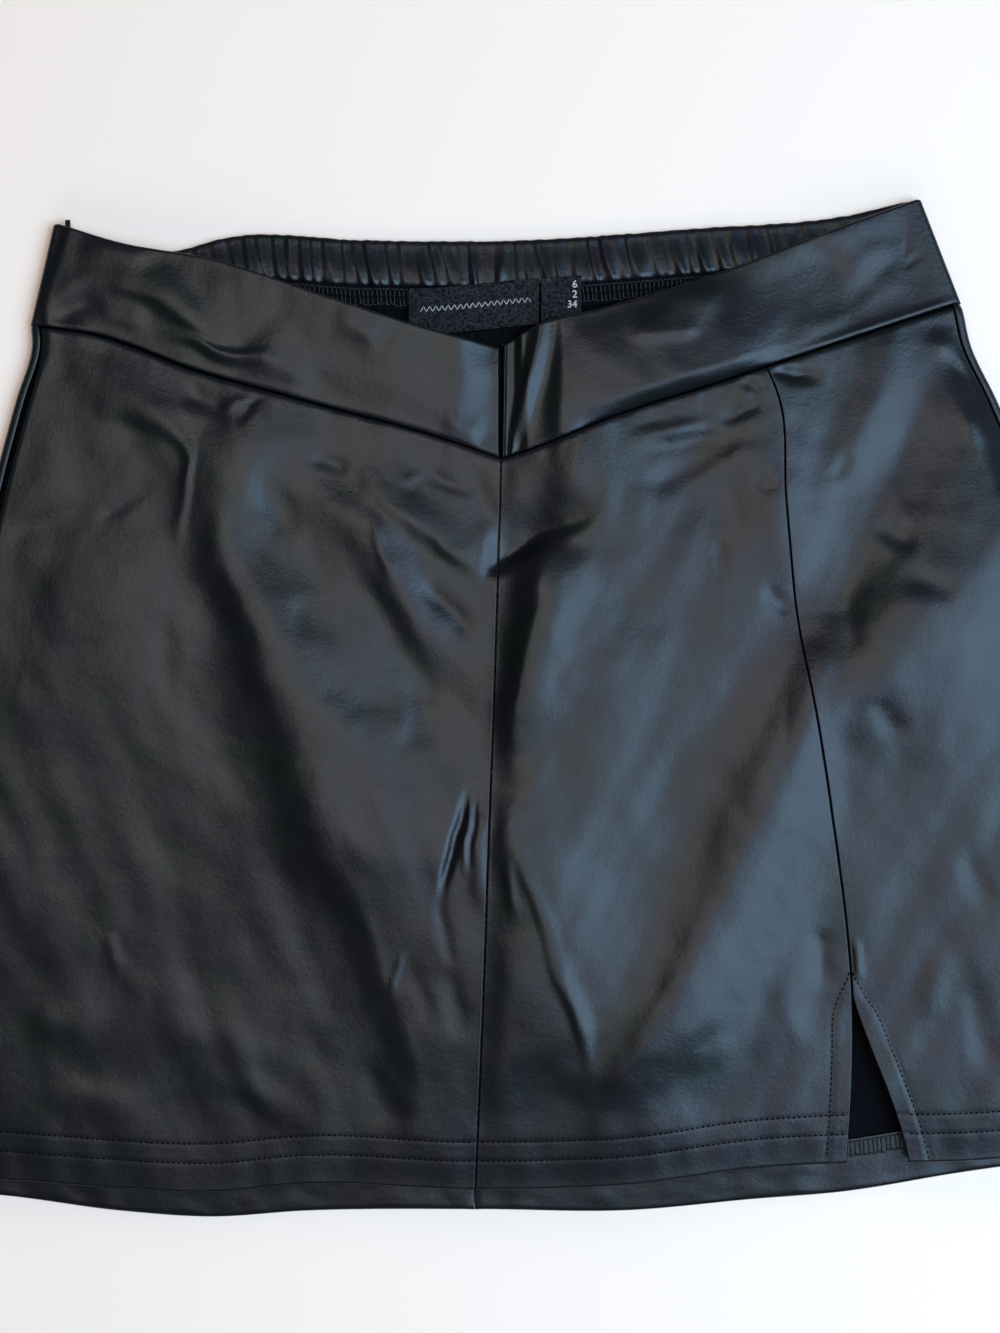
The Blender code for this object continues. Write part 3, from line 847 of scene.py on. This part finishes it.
PANEL_CREASES = straight(
    # the left panel, from the zip across
    (-204, 64, -162, 80, -1.0, 7, 6), (-166, 70, -140, 90, -0.7, 4, 4), (-206, 50, -176, 50, -0.5, 8, 7),
    (-206, 14, -190, 10, -0.5, 7, 7), (-131, 121, -110, 114, -1.0, 4, 4),
    (-117, 114, -105, 121, 0.5, 1.3, 1.4), (-111, 110, -100, 123, -0.8, 1.8, 1.8),
    (-106, 95, -84, 64, -1.1, 6, 6), (-84, 97, -66, 92, -0.8, 3, 3), (-56, 78, -46, 46, 0.6, 1.8, 2.5),
    (-46, 86, -36, 92, 0.5, 2, 2), (-38, 92, -18, 82, -0.7, 2.5, 2.5), (-36, 50, -16, 24, -1.0, 3.5, 4),
    (-21, 96, -9, 66, -1.0, 6, 5), (-138, 40, -136, 4, -0.5, 4, 5), (-38, 24, -42, -26, -0.7, 5, 7),
    (-74, -8, -50, -64, -0.5, 5, 7),
    # its foot
    (-160, -88, -153, -106, 0.6, 3, 3), (-170, -104, -146, -118, -0.5, 7, 6),
    (-150, -104, -124, -134, 0.5, 9, 9), (-104, -128, -62, -134, -0.7, 9, 9),
    (-190, -120, -160, -128, 1.0, 7, 7), (-186, -150, -140, -158, 1.2, 8, 6),
    (-58, -136, -44, -166, -0.8, 5, 5), (-41, -94, -32, -128, -0.5, 3.5, 4),
    (-43.5, -95, -48, -114, 0.7, 1.2, 1.2),
    # the pinch left of the centre seam
    (-19.5, -30, -30, -80, -2.7, 1.5, 1.7), (-31, -72, -24, -104, -0.6, 1.6, 2.2),
    (-26, -98, -19, -130, -1.0, 5, 4), (-19.6, -30, -20.4, -70, 1.2, 0.9, 0.8),
    (-17.8, -32, -18.8, -68, -1.2, 0.8, 0.9), (-15, -36, -14.6, -84, 1.0, 3, 3),
    # beside the centre seam
    (-2, -58, -2, -86, 0.8, 2, 2),
    # wrinkles that fan from the top of the slit's seam
    (44, 103, 78, 110, 1.2, 3.5, 3), (50, 97, 84, 106, -1.2, 4, 3), (78, 111, 101, 119, -1.3, 2.5, 3),
    (62, 84, 98, 104, 1.0, 5, 4), (48, 82, 78, 100, -1.0, 4, 5), (88, 128, 99, 120, -0.8, 3, 3),
    (99, 131, 121, 127, -1.5, 2.5, 3), (78, 66, 82, 44, -0.5, 2.5, 4), (92, 92, 100, 84, -0.8, 4, 4),
    (96, 48, 108, 34, -0.9, 3, 3), (92, 78, 76, 16, 1.1, 9, 15), (34, 54, 62, 22, -1.1, 10, 10),
    (130, 98, 122, 86, -0.7, 3, 3), (138, 70, 158, 62, -0.9, 4, 4), (148, 52, 172, 44, -0.8, 5, 5),
    # the side panel
    (160, 144, 178, 132, 1.2, 4, 4), (164, 138, 182, 126, -1.4, 3, 3), (140, 4, 152, -12, -1.2, 5, 5),
    (170, -52, 186, -84, -0.8, 5, 5), (168, -90, 160, -122, 0.8, 5, 6), (176, -96, 186, -150, -0.8, 5, 6),
    (205, -20, 216, -120, 0.9, 8, 8),
    # beside the slit
    (132.6, -88, 133.2, -107, 0.9, 1.0, 1.6), (118, -84, 120, -112, -1.2, 4, 4),
    (104, -100, 112, -140, 0.7, 6, 6),
)


def fold_height(rows, x, y):
    """How much a fold lifts the cloth at a point."""
    down = abs(rows[0].y - rows[-1].y) > abs(rows[0].x - rows[-1].x)
    key, other, at, beside = ("y", "x", y, x) if down else ("x", "y", x, y)
    rows = sorted(rows, key=lambda row: getattr(row, key))
    lean = (along(rows, key, other, at + 1) - along(rows, key, other, at - 1)) / 2
    off = (beside - along(rows, key, other, at)) / np.hypot(1, lean)
    reach = np.where(off < 0, along(rows, key, "minus", at), along(rows, key, "plus", at))
    between = (at > getattr(rows[0], key)) & (at < getattr(rows[-1], key))
    return along(rows, key, "rise", at) * between * bell(off, reach)


def crease_height(crease, x, y):
    """How much a crease lifts the cloth at a point. It fades out to both its ends."""
    run_x, run_y = crease.x1 - crease.x0, crease.y1 - crease.y0
    length = np.hypot(run_x, run_y)
    share = ((x - crease.x0) * run_x + (y - crease.y0) * run_y) / length**2
    off = ((y - crease.y0) * run_x - (x - crease.x0) * run_y) / length
    fade = ease(share / 0.35) * ease((1 - share) / 0.35)
    return crease.rise * fade * bell(off, np.where(off < 0, crease.minus, crease.plus))


def streaks(x, y, lean, span, seed):
    """Uneven ripples that run along the cloth's pull, `lean` across for each step down."""
    across = (x + lean * y) / np.hypot(1, lean)
    down = (y - lean * x) / np.hypot(1, lean)
    return mottle(across, down / 4.5, span, seed)


def zip_opening(y):
    return ease((ZIP_TOP - y) / ZIP_TAPER) * ease((y - ZIP_END) / ZIP_TAPER)


def left_side_seam(y):
    return edge("left", y) + ROLL_WIDTH + SIDE_GAP + ZIP_OPENING * zip_opening(y)


def right_side_seam(y):
    return edge("right", y) - ROLL_WIDTH - SIDE_GAP


def slit_near_edge(y):
    return edge("slit", y) - SEAM_GAP / 2


def slit_far_edge(y):
    below = np.maximum(0.0, SLIT_TOP - y) / SLIT_DEPTH
    return edge("slit", y) + SEAM_GAP / 2 + SLIT_SPREAD * mix(below, ease(below), 0.35)


def base_height(x, y):
    """The front's outer face without its creases, and how fully they show there."""
    from_side = np.minimum(x - edge("left", y), edge("right", y) - x) - ROLL_WIDTH
    from_hem = y - front_hem(x)
    at_waist = np.where(x < 0, 0.5, 0.1)
    lift = mix(mix(0.45, at_waist, ease((y - 140) / 10)), 1.0, ease(from_side / LIFT_REACH))
    lift = lift * ease(from_side / LIFT_TURN) * mix(LIFT_AT_HEM, 1.0, ease(from_hem / LIFT_FROM_HEM))
    return FRONT_LOW + FRONT_LIFT * lift, ease(from_side / INSET) * mix(0.6, 1.0, ease(from_hem / 24))


def stitch_dip(off):
    return STITCH_DIP * bell(off, STITCH_REACH)


def panel_height(x, y):
    """The front panels' outer face, with creases, puckers along the waist seam and the hem's rows."""
    height, inside = base_height(x, y)
    bent_x = x + 3.2 * mottle(x, y, 32.0, 31.5) + 1.0 * mottle(x, y, 9.0, 33.5)
    bent_y = y + 3.2 * mottle(x, y, 32.0, 41.5) + 1.0 * mottle(x, y, 9.0, 43.5)
    creases = FOLD_GAIN * sum(fold_height(rows, bent_x, bent_y) for rows in PANEL_FOLDS)
    creases = creases + CREASE_GAIN * sum(crease_height(row, bent_x, bent_y) for row in PANEL_CREASES)
    left_streaks, right_streaks = streaks(x, y, 0.42, 11.0, 51.5), streaks(x, y, -0.5, 11.0, 53.5)
    creases = creases + 0.4 * mix(left_streaks, right_streaks, ease((x + 30) / 60))
    creases = creases + 0.8 * mottle(x, y, 34.0, 1.5) + 0.25 * mottle(x, y, 13.0, 7.5)
    creases = creases + 0.06 * mottle(x, y, 5.0, 9.5)
    from_centre = x - edge("centre", y)
    pulled_in = np.where(from_centre < 0, 0.25, mix(0.4, 0.8, ease((y - 50) / 20)))
    creases = creases - 1.5 * pulled_in * bell(from_centre, np.where(from_centre < 0, 9, 6))
    from_seam = front_band_edge("seam", x) - y
    puckers = 0.5 * mottle(x, y / 5, 6.0, 3.5) * np.exp(-from_seam / 7)
    from_hem = y - front_hem(x)
    rows = -stitch_dip(from_hem - UPPER_HEM_ROW) - stitch_dip(from_hem - LOWER_HEM_ROW)
    hem_ripple = 0.35 * mottle(x, y / 6, 9.0, 11.5) * ease(1 - np.abs(from_hem - 8) / 14)
    height = height + inside * (creases + puckers) - 0.4 * bell(from_seam, 1.2) + rows + hem_ripple
    height = FRONT_FLOOR + np.logaddexp(0, (height - FRONT_FLOOR) * 3) / 3
    return FRONT_CEILING - np.logaddexp(0, (FRONT_CEILING - height) * 3) / 3


def slit_inset(y):
    """How far in from a slit edge its stitching runs: nought at the slit's top, then a curve out."""
    return 0.8 + (SLIT_TURN - 0.8) * np.sin(pi / 2 * unit((SLIT_TOP + 8 - y) / 20))


def slit_edge_height(from_edge, y):
    """The slit's turned edge: a second layer under it, and a dip along its stitching."""
    turned = 0.22 * ease((slit_inset(y) - from_edge) / 1.2)
    return ease((SLIT_TOP + 10 - y) / 10) * (turned - stitch_dip(from_edge - slit_inset(y)))


def front_panel(side, across, left_at, right_at, shares):
    """A front panel between two seams that run down. `shares` crowds its cells where detail is fine."""
    main_share = 0.93

    def place(u, v):
        rows = np.interp(unit(v / main_share), (0, 0.07, 0.86, 1), (0, 0.022, 0.93, 1))
        past = unit((v - main_share) / (1 - main_share)) * (pi * HEM_TURN + HEM_DEPTH / 2)
        x, y = framed(
            np.interp(u, *shares), rows, left_at, right_at,
            lambda x: front_band_edge("seam", x) - SEAM_GAP / 2,
            lambda x: front_hem(x) + HEM_TURN,
        )
        out, level = rolled(past, 0.0, HEM_TURN)
        y = y - out
        z = panel_height(x, y)
        from_left, from_right = x - left_at(y), right_at(y) - x
        if right_at is slit_near_edge:
            z = z + slit_edge_height(from_right, y)
        if left_at is slit_far_edge:
            z = z + slit_edge_height(from_left, y)
        sink = rounded(from_left, 0.45) + rounded(from_right, 0.45)
        sink = sink + rounded(front_band_edge("seam", x) - y, 0.5)
        inward = HEM_TURN - level
        return x, y, z - np.where(past > pi * HEM_TURN, inward - sink, inward + sink)

    panel = add_sheet(f"front_{side}_cloth", across, 230, place, WALL, (coated_cloth, knit_back))
    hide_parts(f"front_{side}_panel")
    return panel


def centre_seam_left(y):
    return edge("centre", y) - SEAM_GAP / 2


def centre_seam_right(y):
    return edge("centre", y) + SEAM_GAP / 2


front_left = front_panel(
    "left", 178, left_side_seam, centre_seam_left, ((0, 0.04, 0.55, 0.96, 1), (0, 0.012, 0.60, 0.992, 1))
)
front_centre = front_panel(
    "centre", 122, centre_seam_right, slit_near_edge, ((0, 0.05, 0.35, 0.92, 1), (0, 0.012, 0.26, 0.98, 1))
)
front_side = front_panel(
    "side", 90, slit_far_edge, right_side_seam, ((0, 0.06, 0.94, 1), (0, 0.015, 0.988, 1))
)

# ------------------------------
# Front waistband: two dipped halves, each two layers of the cloth over interlining, joined by a seam
# at the centre where they pinch into narrow upright folds. The top edge is folded over a facing.

BAND_TURN = 0.9
FACING_DEPTH = 26.0
LEFT_BAND_FOLDS = (
    fold(
        (-172, 169, 0, 6, 9), (-158, 165.5, 0.8, 5, 9), (-150, 163, 1.2, 4, 9), (-142, 160, 1.5, 3.8, 9),
        (-134, 154.5, 1.7, 3.6, 9), (-127, 149.5, 1.7, 3.4, 9), (-119, 145, 1.2, 3.2, 8),
        (-108, 141.5, 0, 3.5, 7),
    ),
    fold(
        (-141, 143.5, 0, 3.4, 3), (-132, 144.2, 0.8, 3.2, 2.5), (-125, 142.8, 1.3, 2.6, 2.0),
        (-117, 138.8, 1.5, 2.6, 2.0), (-109, 136, 1.3, 2.8, 2.4), (-101, 135, 0.7, 3.2, 2.8),
        (-92, 134, 0, 3.4, 3),
    ),
)
LEFT_BAND_CREASES = straight(
    (-190, 146, -160, 159, -1.4, 6, 5), (-172, 181, -136, 174, 1.2, 5, 6),
    (-164, 154, -142, 148, 0.5, 4, 6), (-108, 137, -76, 126, 1.3, 8, 12), (-72, 154, -50, 142, 0.8, 5, 8),
    (-30, 112, -12, 106, 0.8, 4, 5),
)
RIGHT_BAND_FOLDS = (
    # the pinch beside the centre seam
    fold((-5.2, 90, 1.5, 0.6, 0.6), (-4.7, 118, 1.9, 0.7, 0.6), (-4.2, 160, 1.9, 0.7, 0.7)),
    fold(
        (0.8, 122, 0, 1.2, 1.2), (1.2, 130, 0.6, 1.4, 1.3), (1.6, 138, 1.0, 1.5, 1.4),
        (1.8, 160, 1.0, 1.5, 1.4),
    ),
    fold(
        (-2.0, 90, 0.9, 1.2, 1.6), (-1.4, 101, 1.4, 1.4, 1.8), (0.6, 112, 1.9, 1.7, 3.2),
        (3.4, 124, 2.2, 2.2, 4.2), (6.4, 134, 2.3, 2.5, 4.8), (8.8, 146, 2.2, 2.6, 5.0),
        (10.2, 160, 2.1, 2.6, 5.0),
    ),
    fold(
        (24, 94, 2.4, 10, 12), (18.5, 108, 3.0, 7, 16), (18.5, 119, 3.1, 6, 26), (18.6, 131, 2.7, 5, 30),
        (18.6, 144, 2.0, 4, 28), (18.8, 160, 1.2, 4, 22),
    ),
    fold(
        (20, 140, 0, 9, 9), (34, 144, 0.9, 14, 9), (52, 150, 1.4, 16, 9), (68, 156, 1.4, 15, 9),
        (84, 162, 0.9, 12, 9), (100, 168, 0, 10, 9),
    ),
    fold(
        (26, 112, 0, 5, 6), (44, 119, 0.5, 4, 8), (66, 127, 0.8, 4, 10), (88, 134, 0.8, 4, 10),
        (104, 143, 0, 4, 7),
    ),
    fold(
        (98, 147, 0, 4, 9), (112, 149.6, 0.3, 4, 9), (124, 152.2, 0.5, 4.4, 10), (133, 156.6, 0.6, 5, 10),
        (141, 162, 0.6, 5, 9), (150, 165.4, 0.5, 5, 9), (160, 168, 0, 5, 7),
    ),
)
RIGHT_BAND_CREASES = straight(
    (86, 134, 128, 145, -0.4, 3.5, 8), (42, 145, 74, 148, 1.0, 3, 6), (50, 158, 82, 160, 1.0, 7, 5),
    (118, 192, 141, 166, 1.6, 9, 14), (152.0, 199, 152.4, 171, -0.45, 0.9, 0.9),
    (151.5, 171, 162.5, 180, -0.4, 1.3, 1.3),
)


def band_height(x, y, folds, creases):
    """The front waistband's outer face, with a soft lip along the seam below it on its right half."""
    height, inside = base_height(x, y)
    bent_x = x + 2.4 * mottle(x, y, 24.0, 61.5) * ease((x - 24) / 20 + (x < -14))
    bent_y = y + 2.4 * mottle(x, y, 24.0, 63.5)
    relief = sum(fold_height(rows, bent_x, bent_y) for rows in folds)
    relief = relief + sum(crease_height(row, bent_x, bent_y) for row in creases)
    relief = relief + 0.7 * mottle(x, y, 26.0, 21.5) + 0.25 * mottle(x, y, 9.0, 27.5)
    from_seam = y - front_band_edge("seam", x)
    from_top = front_band_edge("top", x) - y
    from_centre = x - edge("centre", WAIST_MIDDLE)
    right = ease((x - 10) / 50)
    lip = mix(0.1, 0.4, right) * bell(from_seam - 2.4, 1.8) - 0.4 * bell(from_seam, 1.1)
    crown = mix(0.3, -0.8, ease((x - 80) / 30)) * ease((from_seam - 2) / 16) * ease(from_top / 12)
    rise = 3.4 * from_seam / 40 * ease((-8 - x) / 16) * mix(0.15, 1.0, ease((x + 150) / 90))
    pinch = -2.4 * (ease((x + 7.4) / 1.8) - ease((x + 1.0) / 6))
    fall = 3.4 * ease(from_seam / 7) * (1 - ease((from_seam - 6) / 36)) * right * ease((128 - x) / 50)
    left_fall = -1.6 * mix(1.0, 0.5, ease((y - 108) / 30)) * bell(from_centre, 13) * (from_centre < 0)
    relief = relief + crown + fall + left_fall + rise + pinch
    return height + inside * relief + lip * ease(inside * 2 + 0.4)


def front_band(side, folds, creases):
    outward = -1 if side == "left" else 1
    rows = LEFT_HALF if side == "left" else RIGHT_HALF
    seam_x = edge("centre", WAIST_MIDDLE) + outward * SEAM_GAP / 2
    end_share, top_share, turn_share = 0.05, 0.72, 0.80

    def place(u, v):
        inner, v = u if side == "left" else 1 - u, 1 - v
        past_end = unit((end_share - inner) / end_share) * pi * ROLL
        share = 1 - (1 - unit((inner - end_share) / (1 - end_share))) ** 1.5
        up = np.interp(v, (0, 0.12, 0.62, top_share), (0, 0.06, 0.90, 1))
        turned = pi * BAND_TURN
        past_top = np.interp(v, (top_share, turn_share, 1), (0, turned, turned + FACING_DEPTH))
        low_x = mix(edge(side, rows[0].seam) - outward * ROLL, seam_x, share)
        high_x = mix(edge(side, rows[0].top) - outward * ROLL, seam_x, share)
        low_y = along(rows, "share", "seam", share) + SEAM_GAP / 2
        high_y = along(rows, "share", "top", share) - BAND_TURN
        out, level = rolled(past_top, 0.0, BAND_TURN)
        x = mix(low_x, high_x, up)
        y = mix(low_y, high_y, up) + out
        sink = rounded((x - seam_x) * outward, 0.6) + rounded(y - low_y, 0.5) * (v < top_share)
        inward = BAND_TURN - level
        z = band_height(x, y, folds, creases)
        z = z - np.where(inward > BAND_TURN, inward - 0.5 * sink, inward + sink)
        side_out, side_level = rolled(past_end, 0.0, ROLL)
        x = x + outward * side_out * (1 - inward / (2.5 * BAND_TURN))
        share_high, share_low = (z - ROLL) / ROLL, (ROLL - 0.1 - 0.5 * inward) / ROLL
        z_end = ROLL + side_level * np.where(side_level > 0, share_high, share_low)
        return x, y, np.where(past_end > 0, z_end, z)

    band = add_sheet(f"front_waistband_{side}_cloth", 230, 62, place, WALL, (coated_cloth,))
    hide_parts(f"front_waistband_{side}")


front_band("left", LEFT_BAND_FOLDS, LEFT_BAND_CREASES)
front_band("right", RIGHT_BAND_FOLDS, RIGHT_BAND_CREASES)

# ------------------------------
# Topstitching: black lock stitches in two rows round the front hem and along both edges of the slit,
# each stitch pulled a little into the cloth.

STITCH_PITCH = 2.1
STITCH_LENGTH = 1.5
STITCH_WIDTH = 0.8
black_thread = thread_finish("black_thread", 0.04)


def stitched_line(line, surface):
    """Starts and ends of even stitches along a line of points x and y, laid on a surface."""
    line = np.asarray(line, float)
    steps = np.hypot(*np.diff(line, axis=0).T)
    reach = np.concatenate(([0.0], np.cumsum(steps)))
    at = np.arange(0.4, reach[-1] - STITCH_LENGTH, STITCH_PITCH)
    ends = []
    for distance in (at, at + STITCH_LENGTH):
        x = np.interp(distance, reach, line[:, 0])
        y = np.interp(distance, reach, line[:, 1])
        ends.append(np.column_stack((x, y, surface(x, y))))
    return ends


def hem_row(from_x, to_x, height):
    x = np.linspace(from_x, to_x, 200)
    return np.column_stack((x, front_hem(x) + height))


def near_slit_height(x, y):
    return panel_height(x, y) + slit_edge_height(slit_near_edge(y) - x, y)


def far_slit_height(x, y):
    return panel_height(x, y) + slit_edge_height(x - slit_far_edge(y), y)


def slit_stitch_line(edge_at, toward):
    """The stitching beside a slit edge. It starts at the slit's top and runs to the hem."""
    y = np.linspace(SLIT_TOP + 10, float(front_hem(edge_at(-175.0))) + 1, 80)
    return np.column_stack((edge_at(y) + toward * slit_inset(y), y))


HEM_LEVEL = -172.0
hem_spans = (
    (left_side_seam(HEM_LEVEL) + 1, edge("centre", HEM_LEVEL) - 1, panel_height),
    (edge("centre", HEM_LEVEL) + 1, slit_near_edge(HEM_LEVEL) - 1, near_slit_height),
    (slit_far_edge(HEM_LEVEL) + 1, right_side_seam(HEM_LEVEL) - 1, far_slit_height),
)
stitch_runs = [
    stitched_line(hem_row(from_x, to_x, height), surface)
    for height in (UPPER_HEM_ROW, LOWER_HEM_ROW)
    for from_x, to_x, surface in hem_spans
]
stitch_runs.append(stitched_line(slit_stitch_line(slit_near_edge, -1), near_slit_height))
stitch_runs.append(stitched_line(slit_stitch_line(slit_far_edge, 1), far_slit_height))
front_stitches = add_stitches("front_topstitching", stitch_runs, STITCH_WIDTH, black_thread, 0.6)

# ------------------------------
# Zip: a concealed nylon coil down the left side seam, and the folded end of its tape at the waist.

COIL_PITCH, COIL_LEVEL = 1.25, 2.1
TOOTH_LENGTH, TOOTH_SLANT, TOOTH_THICKNESS = 1.2, 0.3, 0.9
TAPE_TAIL, TAPE_LOOP = 3.5, 1.9  # how far the folded tape's ends run down, and its loop up


def nylon_finish():
    material, place = new_finish("zip_nylon", 0.55, specular=0.12)
    grime = place.noise(600.0)
    place.dress(grime.blend((0.003, 0.003, 0.0035), (0.010, 0.010, 0.011)), grime, 0.3, 0.0001)
    return material


zip_nylon = nylon_finish()
coil_low, coil_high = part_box("zip_coil")
coil_y = np.arange(coil_low.y / MM + 1, coil_high.y / MM - 1, COIL_PITCH)
coil_x = edge("left", coil_y) + ROLL_WIDTH + SIDE_GAP + 0.15
coil_z = np.full(len(coil_y), COIL_LEVEL)
coil_starts = np.column_stack((coil_x, coil_y, coil_z))
coil_ends = np.column_stack((coil_x + TOOTH_LENGTH, coil_y + TOOTH_SLANT, coil_z))
zip_coil = add_stitches("zip_coil_teeth", [(coil_starts, coil_ends)], TOOTH_THICKNESS, zip_nylon)
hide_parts("zip_coil")

tape_low, tape_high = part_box("zip_tape_end")


def tape_place(u, v):
    turn = pi * unit((v - 0.3) / 0.4)
    tails = unit(1 - v / 0.3) + unit((v - 0.7) / 0.3)
    y = tape_low.y / MM + TAPE_LOOP * np.sin(turn) - TAPE_TAIL * tails
    z = (tape_low.z + tape_high.z) / 2 / MM + 0.6 * np.cos(turn)
    return mix(tape_low.x, tape_high.x, u) / MM, y, z


tape_end = add_sheet("zip_tape_end_cloth", 6, 14, tape_place, 0.3, (zip_nylon,))
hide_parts("zip_tape_end")

# ------------------------------
# Floor, light and camera: a pale floor, a wide cool window at the right in two boxes, softboxes
# overhead that the cloth mirrors, two warm fills that it doesn't, and a camera straight above.

floor = linked("floor", grid_mesh("floor", 1, 1, 4.0))
floor.location.z = -0.0003
pale_floor, floor_place = new_finish("pale_floor", 0.9, specular=0.2)
floor_place.give("Base Color", (0.95, 0.79, 0.67, 1.0))
floor.data.materials.append(pale_floor)

LIGHTS = table(
    "Light", "name place aim width depth radiance colour",
    ("window", (1.08, -0.20, 1.20), (0.05, -0.20), 1.4, 1.2, 6.8, (0.46, 0.72, 1.0)),
    ("window_top", (0.60, -0.12, 1.62), (0.05, -0.12), 1.2, 0.26, 2.95, (0.53, 0.74, 1.0)),
    ("overhead_right", (0.25, -0.09, 1.5), (0.25, -0.09), 0.40, 0.90, 2.45, (0.72, 0.80, 1.0)),
    ("overhead", (-0.10, 0.04, 1.5), (-0.10, 0.04), 0.30, 0.52, 2.9, (1.0, 0.92, 0.84)),
    ("overhead_low", (-0.13, -0.47, 1.5), (-0.13, -0.47), 0.36, 0.46, 1.1, (1.0, 0.95, 0.90)),
    ("overhead_waist", (-0.18, 0.45, 1.5), (-0.18, 0.45), 0.30, 0.30, 5.0, (1.0, 0.95, 0.92)),
    ("overhead_left", (-0.47, 0.20, 1.5), (-0.47, 0.20), 0.42, 0.60, 1.95, (1.0, 0.95, 0.90)),
    ("overhead_yoke", (0.37, 0.36, 1.5), (0.37, 0.36), 0.24, 0.26, 1.6, (0.72, 0.82, 1.0)),
    ("fill_waist", (0.1, 2.3, 0.9), (0.0, 0.0), 2.4, 0.8, 3.4, (1.0, 0.85, 0.72)),
    ("fill_hem", (0.1, -2.3, 0.9), (0.0, 0.0), 2.4, 0.8, 3.4, (1.0, 0.85, 0.72)),
)
for row in LIGHTS:
    light = bpy.data.lights.new(row.name, "AREA")
    light.shape = "RECTANGLE"
    light.size, light.size_y = row.width, row.depth
    light.energy = row.radiance * pi * row.width * row.depth
    light.color = row.colour
    box = linked(row.name, light)
    box.location = row.place
    facing = Vector((*row.aim, 0.0)) - Vector(row.place)
    box.rotation_euler = facing.to_track_quat("-Z", "Y").to_euler()
    box.visible_camera = False
    box.visible_glossy = not row.name.startswith("fill")

world = bpy.data.worlds.new("room")
world.use_nodes = True
sky = world.node_tree.nodes["Background"]
sky.inputs["Color"].default_value = (1.0, 1.0, 1.0, 1.0)
sky.inputs["Strength"].default_value = 0.07
bpy.context.scene.world = world
bpy.context.scene.view_settings.view_transform = "Standard"

VIEW_HEIGHT, CAMERA_HEIGHT, CLOTH_LEVEL = 0.5199, 0.9, 0.006
camera_data = bpy.data.cameras.new("camera")
camera_data.sensor_width = 36.0
camera_data.lens = 36.0 * (CAMERA_HEIGHT - CLOTH_LEVEL) / VIEW_HEIGHT
camera = linked("camera", camera_data)
camera.location = (-0.0064, 0.0156, CAMERA_HEIGHT)
bpy.context.scene.camera = camera
